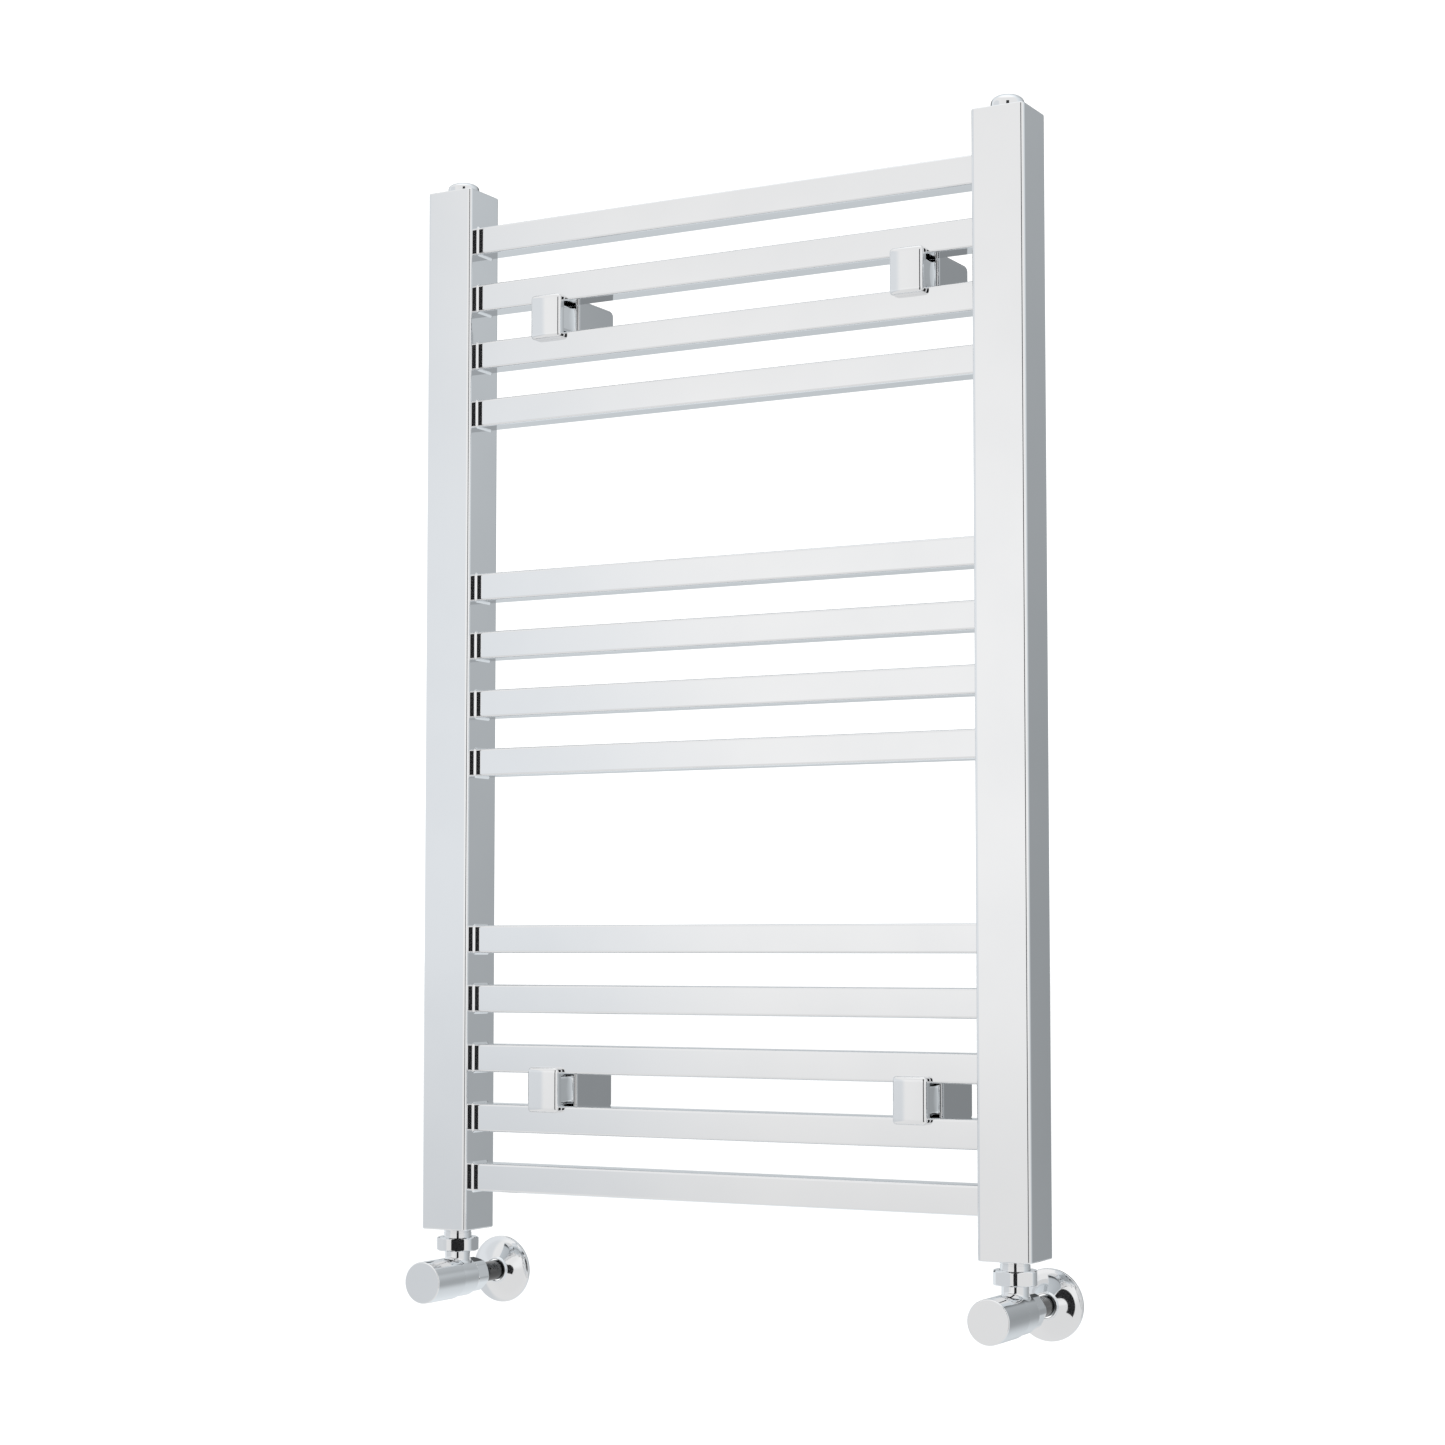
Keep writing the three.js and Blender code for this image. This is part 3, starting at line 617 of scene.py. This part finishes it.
    low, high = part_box(prefix + "_clamp_screw")
    head = high.y - 5 * MM
    shank = 3 * MM
    steps = [(low.y, shank - 0.7 * MM), (low.y + 0.7 * MM, shank)]
    turns = int((head - low.y - 1.5 * MM) / (0.5 * MM))
    for k in range(turns):
        y = low.y + 0.9 * MM + k * 0.5 * MM
        steps.append((y, shank - (0.35 * MM if k % 2 else 0)))
    steps += [
        (head - 0.1 * MM, shank),
        (head, 4.9 * MM),
        (high.y - 0.5 * MM, 4.95 * MM),
        (high.y, 4.5 * MM),
    ]
    socket_screw(
        prefix + "_clamp_screw_turned",
        steps,
        (x, 0, z),
        5 * MM,
        3 * MM,
        bracket_zinc,
        "zinc_plate",
        prefix + "_clamp_screw",
    )

    low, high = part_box(prefix + "_grub_screw")
    steps = [
        (high.z, 1.9 * MM),
        (high.z - 0.5 * MM, 2.4 * MM),
        (low.z + 0.3 * MM, 2.45 * MM),
        (low.z, 2.2 * MM),
    ]
    centre = (x, (low.y + high.y) / 2, 0)
    socket_screw(
        prefix + "_grub_screw_turned",
        steps,
        centre,
        2.5 * MM,
        1.6 * MM,
        grub_steel,
        "dark_steel",
        prefix + "_grub_screw",
        axis="Z",
    )

    # The post: a thick plate at the wall with a countersunk hole, and four walls standing from it.
    low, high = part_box(prefix + "_wall_post")
    width, height = high.x - low.x, high.z - low.z
    wall = 3 * MM
    floor = high.y - 8 * MM

    def hole(y, radius):
        pattern = rounded_rectangle(width, height, 1.2 * MM, 6)
        out = []
        for p in pattern:
            a = math.atan2(p.y, p.x)
            out.append((x + radius * math.cos(a), y, z + radius * math.sin(a)))
        return out

    inside = rounded_rectangle(width - 2 * wall, height - 2 * wall, 1 * MM, 6)
    outside = rounded_rectangle(width, height, 1.2 * MM, 6)
    eased = rounded_rectangle(width - 0.6 * MM, height - 0.6 * MM, 1.0 * MM, 6)
    rings = [
        hole(high.y, 2.6 * MM),
        upright_ring(eased, x, high.y, z),
        upright_ring(outside, x, high.y - 0.3 * MM, z),
        upright_ring(outside, x, low.y + 0.3 * MM, z),
        upright_ring(eased, x, low.y, z),
        upright_ring(inside, x, low.y, z),
        upright_ring(inside, x, floor, z),
        hole(floor, 5 * MM),
        hole(floor + 3 * MM, 2.6 * MM),
    ]
    piece(
        prefix + "_wall_post_pressed",
        *skin(rings, loop=True),
        bracket_zinc,
        "radiator",
        prefix + "_wall_post",
        slot="zinc_plate",
    )


for level in ("upper", "lower"):
    for side in ("left", "right"):
        bracket(f"bracket_{level}_{side}")

# ---------------------------------------------------------------------------------------------
# Valves. Forged brass bodies, machined and chrome plated, on 15 mm supply pipes from the wall. A
# union nut draws each body up to a threaded tail in the upright; a nut and olive grip the pipe.


def soft_least(values, blend):
    """The least of several lengths, with the changeover rounded by about blend."""
    least = min(values)
    return least - blend * math.log(sum(math.exp((least - v) / blend) for v in values))


NUT_POINTS = 144
NUT_CHAMFER = math.radians(33)


def hexagon_nut(name, flats, corner, low, high, centre, axis, turn, bores, finish, node):
    """Flats, corners turned round, both ends chamfered and a stepped bore through it."""
    rings = []
    near_end = [0, 0.03, 0.06, 0.09, 0.12, 0.16, 0.2, 0.26]
    for share in near_end + [0.5] + [1 - share for share in reversed(near_end)]:
        from_end = min(share, 1 - share) * (high - low)
        cone = flats / 2 - 0.35 * MM + from_end / math.tan(NUT_CHAMFER)

        def reach(angle):
            return soft_least([hexagon_reach(angle, flats, turn), corner, cone], 0.05 * MM)

        rings.append(ring_about(centre, axis, low + share * (high - low), reach, NUT_POINTS))
    for along, radius in bores:
        rings.append(ring_about(centre, axis, along, radius, NUT_POINTS))
    return piece(name, *skin(rings, loop=True), finish, "radiator", node, sharp=30)


valve_chrome = polished_chrome("valve chrome", (1, 1, 1), 0.2, (7, 3, 1))
nut_chrome = polished_chrome("nut chrome", (1, 1, 1), 0.15, (2, 9, 4))
# The pipes' plate is darkened to a tenth of bright chrome: painted shade standing in for the dark
# surroundings the pipes reflect.
pipe_chrome_painted_shade = polished_chrome("pipe chrome", (1, 0.1, 1), 0.2, (4, 4, 4), 0.1)
plate_chrome = polished_chrome("escutcheon chrome", (1, 1, 1), 0.6, (9, 2, 6))
valve_brass = turned_brass("valve brass")
UNION_TURN = {"lockshield": 4, "control": 22}
HEAD_ROUND = 0.8 * MM


def valve(prefix, head, head_body, spindle_body, shutter_body):
    low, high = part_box(prefix + "_inlet_pipe")
    x, z = (low.x + high.x) / 2, (low.z + high.z) / 2
    pipe_radius = (high.x - low.x) / 2
    axis = (x, 0, z)
    tube_y = port_y
    port = (x, tube_y, 0)
    upright_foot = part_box("upright_left")[0].z
    bore = pipe_radius - 0.8 * MM
    pipe = [(low.y, bore), (low.y, pipe_radius), (high.y, pipe_radius), (high.y, bore)]
    pipe = fillet(pipe, 0.15 * MM, closed=True)
    pipe_node = prefix + "_inlet_pipe"
    turned(prefix + "_pipe_drawn", pipe, axis, "Y", pipe_chrome_painted_shade, "radiator", pipe_node, closed=True)

    # Tail: pipe thread run out to a plain collar where it shows, with a flange under the nut's lip.
    low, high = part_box(prefix + "_tail")
    flange = (high.x - low.x) / 2
    profile = [
        (low.z, 7.5 * MM),
        (low.z, flange),
        (low.z + 2 * MM, flange),
        (low.z + 2 * MM, PORT_THREAD),
        (upright_foot - 3.2 * MM, PORT_THREAD),
        (upright_foot - 2.9 * MM, PORT_THREAD - 0.35 * MM),
        (upright_foot - 2.2 * MM, PORT_THREAD - 0.35 * MM),
        (upright_foot - 1.9 * MM, PORT_THREAD),
        (high.z, PORT_THREAD),
        (high.z, 7.5 * MM),
    ]
    rounds = [0, 0.3 * MM, 0.2 * MM, 0, 0, 0, 0, 0, 0.3 * MM, 0]
    tail = fillet(profile, rounds, closed=True, steps=3)
    turned(prefix + "_tail_turned", tail, port, "Z", nut_chrome, "radiator", prefix + "_tail", closed=True)

    low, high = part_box(prefix + "_union_nut")
    bore = flange + 0.3 * MM
    lip = high.z - 2.4 * MM
    mouth = PORT_THREAD + 0.3 * MM
    hexagon_nut(
        prefix + "_union_nut_machined",
        30 * MM,
        15.95 * MM,
        low.z,
        high.z,
        port,
        "Z",
        math.radians(UNION_TURN[prefix]),
        [(high.z, mouth), (lip, mouth), (lip, bore), (low.z, bore)],
        nut_chrome,
        prefix + "_union_nut",
    )
    nut_foot = low.z

    # Body: barrel with a nose for the bonnet and a nipple for the pipe, and the outlet's neck.
    low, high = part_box(prefix + "_body")
    barrel_radius = z - low.z
    nose, visible_front = 11.5 * MM, tube_y - 11 * MM
    chamber = 9.8 * MM
    seat = tube_y + 6 * MM
    stop = tube_y + 9.5 * MM
    barrel_end = tube_y + 10 * MM
    profile = [
        (low.y, chamber),
        (low.y, nose),
        (visible_front, nose),
        (visible_front, barrel_radius - 0.1 * MM),
        (visible_front + 7 * MM, barrel_radius),
        (barrel_end - 2.2 * MM, barrel_radius),
        (barrel_end, barrel_radius - 1.6 * MM),
        (barrel_end, 9.9 * MM),
        (high.y, 9.9 * MM),
        (high.y, pipe_radius + 0.2 * MM),
        (stop, pipe_radius + 0.2 * MM),
        (stop, 5.5 * MM),
        (seat, 5.5 * MM),
        (seat, chamber),
    ]
    rounds = [0.2, 0.5, 0, 0.7, 0, 0.9, 0.4, 0, 0.4, 0.2, 0, 0, 0.2, 0]
    barrel = fillet(profile, [r * MM for r in rounds], closed=True, steps=5)
    body_node = prefix + "_body"
    turned(prefix + "_body_barrel", barrel, axis, "Y", valve_chrome, "radiator", body_node, closed=True)

    neck = 9.5 * MM
    root = 1.7 * MM
    neck_points = 96
    rings = []
    for k in range(11):
        turn = k / 10 * math.pi / 2
        rise = z - 0.05 * MM + root * (1 - math.cos(turn))
        ring = ring_about(port, "Z", rise, neck + root * (1 - math.sin(turn)), neck_points)
        for point in ring:
            point.z += math.sqrt(barrel_radius**2 - (point.x - x) ** 2)
        rings.append(ring)
    collar = flange - 0.2 * MM
    for along, radius in (
        (nut_foot - 0.6 * MM, neck),
        (nut_foot + 0.3 * MM, neck + 0.1 * MM),
        (nut_foot + 0.9 * MM, collar),
        (high.z, collar),
        (high.z, 6 * MM),
        (z + chamber * 0.7, 6 * MM),
    ):
        rings.append(ring_about(port, "Z", along, radius, neck_points))
    piece(prefix + "_body_neck", *skin(rings), valve_chrome, "radiator")

    # Bonnet: brass, screwed into the nose, with a gland flange that seals on it.
    low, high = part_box(prefix + "_bonnet")
    flange_radius = (high.x - low.x) / 2
    flange_back = low.y + 3.6 * MM
    profile = [
        (low.y, 3.3 * MM),
        (low.y, flange_radius - 2.5 * MM),
        (low.y + 1.2 * MM, flange_radius - 1.2 * MM),
        (low.y + 1.2 * MM, flange_radius),
        (flange_back, flange_radius),
        (flange_back, 9.5 * MM),
        (high.y, 9.5 * MM),
        (high.y, 5.3 * MM),
        (high.y - 3 * MM, 5.3 * MM),
        (high.y - 3 * MM, 3.3 * MM),
    ]
    bonnet = fillet(profile, 0.25 * MM, closed=True, steps=3)
    turned(
        prefix + "_bonnet_turned",
        bonnet,
        axis,
        "Y",
        valve_brass,
        "radiator",
        prefix + "_bonnet",
        slot="brass",
        closed=True,
    )

    # Spindle: a squared end for the head or key, a collar inside the bonnet, then the thread.
    low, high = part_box(prefix + "_spindle")
    square, shank, collar = 2.25 * MM, 3 * MM, 5 * MM
    collar_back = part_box(prefix + "_bonnet")[1].y - 0.3 * MM
    rings = []

    def spindle_ring(y, radius, squared):
        side = square_reach(square)
        reach = (lambda angle: min(radius, side(angle))) if squared else radius
        return ring_about(axis, "Y", y, reach, 72, 0.5)

    for y, radius, squared in (
        (low.y, shank - 0.6 * MM, True),
        (low.y + 0.5 * MM, shank, True),
        (low.y + 6.8 * MM, shank, True),
        (low.y + 7.2 * MM, shank, False),
        (collar_back - 2.4 * MM, shank, False),
        (collar_back - 2.4 * MM, collar - 0.2 * MM, False),
        (collar_back - 2.2 * MM, collar, False),
        (collar_back - 0.2 * MM, collar, False),
        (collar_back, collar - 0.2 * MM, False),
        (collar_back, shank - 0.4 * MM, False),
    ):
        rings.append(spindle_ring(y, radius, squared))
    thread_turns = int((high.y - collar_back - 0.6 * MM) / (0.5 * MM))
    for k in range(thread_turns):
        root_or_crest = shank - (0.7 if k % 2 else 0.4) * MM
        rings.append(spindle_ring(collar_back + 0.3 * MM + k * 0.5 * MM, root_or_crest, False))
    rings.append(spindle_ring(high.y, shank - 0.9 * MM, False))
    piece(
        prefix + "_spindle_turned",
        *skin(rings),
        valve_brass,
        spindle_body,
        prefix + "_spindle",
        slot="brass",
    )

    low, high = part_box(prefix + "_shutter")
    radius = (high.x - low.x) / 2
    profile = [
        (low.y, 2.9 * MM),
        (low.y, radius - 0.8 * MM),
        (low.y + 0.8 * MM, radius),
        (high.y - 3.6 * MM, radius),
        (high.y - 3.4 * MM, radius - 0.6 * MM),
        (high.y - 2.6 * MM, radius - 0.6 * MM),
        (high.y - 2.4 * MM, radius),
        (high.y - 0.8 * MM, radius),
        (high.y, radius - 0.9 * MM),
        (high.y, 0),
        (high.y - 1.7 * MM, 0),
        (high.y - 1.7 * MM, 2.9 * MM),
    ]
    turned(
        prefix + "_shutter_turned",
        profile,
        axis,
        "Y",
        valve_brass,
        shutter_body,
        prefix + "_shutter",
        slot="brass",
        segments=64,
        closed=True,
    )

    # Head: a plain turned cup. The handle has a hub on the spindle; the cap grips the flange.
    low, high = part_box(prefix + "_" + head)
    radius = (high.x - low.x) / 2
    cup = radius - 2.3 * MM
    bonnet_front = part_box(prefix + "_bonnet")[0].y
    if head == "cap":
        grip = flange_radius + 0.3 * MM
        floor = bonnet_front - 10.8 * MM
        step = bonnet_front + 3.4 * MM
        inside = [(high.y, cup), (step, cup), (step, grip), (floor, grip), (floor, 0)]
    else:
        hub = bonnet_front - 1 * MM
        inside = [(high.y, cup), (hub, cup), (hub, 3.3 * MM), (hub - 6 * MM, 3.3 * MM), (hub - 6 * MM, 0)]
    outside = [(low.y, 0), (low.y, radius * 0.5), (low.y, radius), (high.y, radius)]
    rounds = [0, 0, HEAD_ROUND, 0.45 * MM, 0.35 * MM] + [0] * (len(inside) - 1)
    turned(
        f"{prefix}_{head}_turned",
        fillet(outside + inside, rounds, steps=7),
        axis,
        "Y",
        valve_chrome,
        head_body,
        prefix + "_" + head,
        segments=128,
    )

    # Inlet nut, olive and the plate that hides the hole in the wall.
    low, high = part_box(prefix + "_inlet_nut")
    lip = high.y - 2.8 * MM
    mouth, bore = pipe_radius + 0.2 * MM, 10.1 * MM
    hexagon_nut(
        prefix + "_inlet_nut_machined",
        24 * MM,
        12.9 * MM,
        low.y,
        high.y,
        axis,
        "Y",
        math.radians(UNION_TURN[prefix] + 12),
        [(high.y, mouth), (lip, mouth), (lip, bore), (low.y, bore)],
        nut_chrome,
        prefix + "_inlet_nut",
    )
    low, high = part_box(prefix + "_olive")
    radius = (high.x - low.x) / 2
    profile = [
        (low.y, pipe_radius + 0.1 * MM),
        (low.y, radius - 1 * MM),
        ((low.y + high.y) / 2, radius),
        (high.y, radius - 1 * MM),
        (high.y, pipe_radius + 0.1 * MM),
    ]
    turned(
        prefix + "_olive_turned",
        fillet(profile, [0, 0.2 * MM, 1.5 * MM, 0.2 * MM, 0], closed=True),
        axis,
        "Y",
        valve_brass,
        "radiator",
        prefix + "_olive",
        slot="brass",
        closed=True,
    )

    low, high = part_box(prefix + "_escutcheon")
    rim, neck, tall = (high.x - low.x) / 2, 9.6 * MM, high.y - low.y
    thick, shoulder, edge = 1 * MM, 8 * MM, 2 * MM
    front = [(high.y - tall, neck - 1.2 * MM), (high.y - tall, neck)]
    for k in range(13):
        share = k / 12
        rise = edge + (shoulder - edge) * (1 - math.sin(share * math.pi / 2))
        front.append((high.y - rise, neck + 0.2 * MM + (rim - neck - 0.2 * MM) * share))
    front += [(high.y, rim)]
    back = [(high.y, rim - thick)]
    for k in range(12, -1, -1):
        share = k / 12
        rise = edge + (shoulder - edge) * (1 - math.sin(share * math.pi / 2))
        back.append((high.y - rise + thick, neck - thick + (rim - neck) * share))
    back += [(high.y - tall + thick, neck - thick), (high.y - tall + thick, neck - 1.2 * MM)]
    outline = [Vector(p) for p in front + back]
    rounds = [0.25 * MM, 0.45 * MM, 0.5 * MM] + [0] * 11 + [0.6 * MM, 0.2 * MM, 0.2 * MM] + [0] * 15
    turned(
        prefix + "_escutcheon_pressed",
        fillet(outline, rounds, closed=True, steps=4),
        axis,
        "Y",
        plate_chrome,
        "radiator",
        prefix + "_escutcheon",
        closed=True,
        segments=144,
    )


valve("lockshield", "cap", "lockshield_cap", "lockshield_spindle", "lockshield_shutter")
valve("control", "handle", "control_head", "control_head", "control_shutter")

# ---------------------------------------------------------------------------------------------
# Studio. A pale floor under white light, inside a light tent that only mirror surfaces see: white
# in front and above, blue-grey behind, and black cloth hung behind the camera.

CAMERA_AT = Vector((0.9906, -1.8554, -0.1863))
CAMERA_TURN = math.radians(28.89)
CAMERA_TILT = math.radians(3.62)
FLOOR_Z = -0.62
FLOOR_REACH = 60


def staged(name, vertices, faces, material):
    mesh = bpy.data.meshes.new(name)
    mesh.from_pydata([tuple(v) for v in vertices], [], faces)
    mesh.materials.append(material)
    made = bpy.data.objects.new(name, mesh)
    bpy.context.scene.collection.objects.link(made)
    return made


paper = Finish("floor paper")
tooth = paper.noise(300, 4)
cloudy = paper.noise(1.3, 3)
paper_colour = paper.mix(cloudy, (0.90, 0.90, 0.90, 1), (0.93, 0.93, 0.93, 1))
paper_material = paper.surface(
    Base_Color=paper_colour, Roughness=0.9, Normal=paper.bump(tooth, 0.15, 0.0002)
)
floor_corners = [(x * FLOOR_REACH, y * FLOOR_REACH, FLOOR_Z) for x, y in ((-1, -1), (1, -1), (1, 1), (-1, 1))]
floor = staged("floor", floor_corners, [(0, 1, 2, 3)], paper_material)
floor.visible_glossy = False

TENT = 30.0
tent_mesh = bmesh.new()
bmesh.ops.create_uvsphere(tent_mesh, u_segments=48, v_segments=24, radius=TENT)
tent_vertices = [v.co.copy() for v in tent_mesh.verts]
tent_faces = [[v.index for v in face.verts] for face in tent_mesh.faces]
tent_mesh.free()

tent = Finish("light tent cloth")
direction = tent.node(
    "ShaderNodeVectorMath",
    {"operation": "NORMALIZE"},
    {0: tent.node("ShaderNodeTexCoord", {}, {}, "Object")},
    "Vector",
)


def facing(way):
    """The cosine between a tent direction and the way given."""
    length = math.sqrt(sum(c * c for c in way))
    return tent.node(
        "ShaderNodeVectorMath",
        {"operation": "DOT_PRODUCT"},
        {0: direction, 1: [c / length for c in way]},
        "Value",
    )


def between(value, low, high):
    return tent.node(
        "ShaderNodeMapRange",
        {"interpolation_type": "SMOOTHSTEP"},
        {"Value": value, "From Min": low, "From Max": high, "To Min": 0.0, "To Max": 1.0},
        "Result",
    )


def spread(way):
    """The angle in radians between a tent direction and the way given."""
    return facing(way).math("ARCCOSINE", facing(way))


height = facing((0, 0, 1))
right_of = facing((math.cos(CAMERA_TURN), math.sin(CAMERA_TURN), 0))
behind = between(facing((0, 1, 0)), -0.12, 0.2)
edge_of_softbox = between(right_of * -1, 0.83, 0.895)
front = 0.965 - between(height, 0.12, 0.3) * 0.07 - between(height * -1, -0.03, 0.13) * 0.15
front = front - between(right_of, -0.8, -0.55) * 0.02 - edge_of_softbox * 0.118
rear = 0.325 + spread((math.sin(0.35), math.cos(0.35), -0.05)) * 0.36
far_right = between(facing((1, 0, 0)), 0.41, 0.54)
rear = rear + between(height, -0.12, 0.3) * (far_right * 0.15 - 0.02)
rear = rear + between(height * -1, 0.2, 0.5) * 0.25
rear = rear.math("MINIMUM", rear, 0.9)
level = front * (1 - behind) + rear * behind
card_above = between(height, 0.24, 0.3) * (1 - between(height, 0.44, 0.52))
card_above = card_above * between(facing((-0.45, 0.89, 0)), 0.7, 0.78)
level = level * (1 - card_above * 0.85)
level = level + between(height, 0.75, 0.95) * 0.25
front_colour = tent.mix(edge_of_softbox, (1.0, 1.0, 1.0, 1), (0.965, 1.0, 1.035, 1))
tent_colour = tent.mix(behind, front_colour, (0.925, 0.98, 1.02, 1))
tent_glow = tent.node(
    "ShaderNodeVectorMath", {"operation": "SCALE"}, {"Vector": tent_colour, "Scale": level}, "Vector"
)
glow = tent.node("ShaderNodeEmission", {}, {"Color": tent_glow, "Strength": 1.0})
tent.node("ShaderNodeOutputMaterial", {}, {"Surface": glow})
tent.material.cycles.emission_sampling = "NONE"
tent_dome = staged("light_tent", tent_vertices, tent_faces, tent.material)

black = Finish("black cloth")
nap = black.noise(40, 3)
black_colour = black.mix(nap, (0.006, 0.006, 0.007, 1), (0.012, 0.012, 0.013, 1))
black_material = black.surface(Base_Color=black_colour, Roughness=1.0)
across = Vector((math.cos(CAMERA_TURN), math.sin(CAMERA_TURN), 0)) * 0.36
behind_camera = Vector((math.sin(CAMERA_TURN), -math.cos(CAMERA_TURN), 0)) * 0.1 + CAMERA_AT
foot, head_of_cloth = Vector((0, 0, -1.1)), Vector((0, 0, 1.4))
cloth = staged(
    "black_cloth",
    [
        behind_camera - across + foot,
        behind_camera + across + foot,
        behind_camera + across + head_of_cloth,
        behind_camera - across + head_of_cloth,
    ],
    [(0, 1, 2, 3)],
    black_material,
)
for mirrored_only in (tent_dome, cloth):
    for ray in ("camera", "diffuse", "shadow", "transmission"):
        setattr(mirrored_only, "visible_" + ray, False)

world = bpy.data.worlds.new("white studio")
world.use_nodes = True
background = world.node_tree.nodes["Background"]
background.inputs["Color"].default_value = (1, 1, 1, 1)
background.inputs["Strength"].default_value = 1.2
bpy.context.scene.world = world

soft = bpy.data.lights.new("overhead softbox", "AREA")
soft.shape = "RECTANGLE"
soft.size, soft.size_y, soft.energy = 3.0, 3.0, 30
overhead_light = bpy.data.objects.new("overhead softbox", soft)
overhead_light.location = (0.3, -1.2, 3.0)
overhead_light.rotation_euler = (math.radians(-20), 0, 0)
overhead_light.visible_glossy = False
bpy.context.scene.collection.objects.link(overhead_light)

lens = bpy.data.cameras.new("camera")
lens.lens = 69.84
lens.sensor_width = 36
lens.shift_y = 0.033
lens.clip_end = 200
camera = bpy.data.objects.new("camera", lens)
camera.location = CAMERA_AT
camera.rotation_euler = (math.pi / 2 + CAMERA_TILT, 0, CAMERA_TURN)
bpy.context.scene.collection.objects.link(camera)
bpy.context.scene.camera = camera
bpy.context.scene.view_settings.view_transform = "Standard"
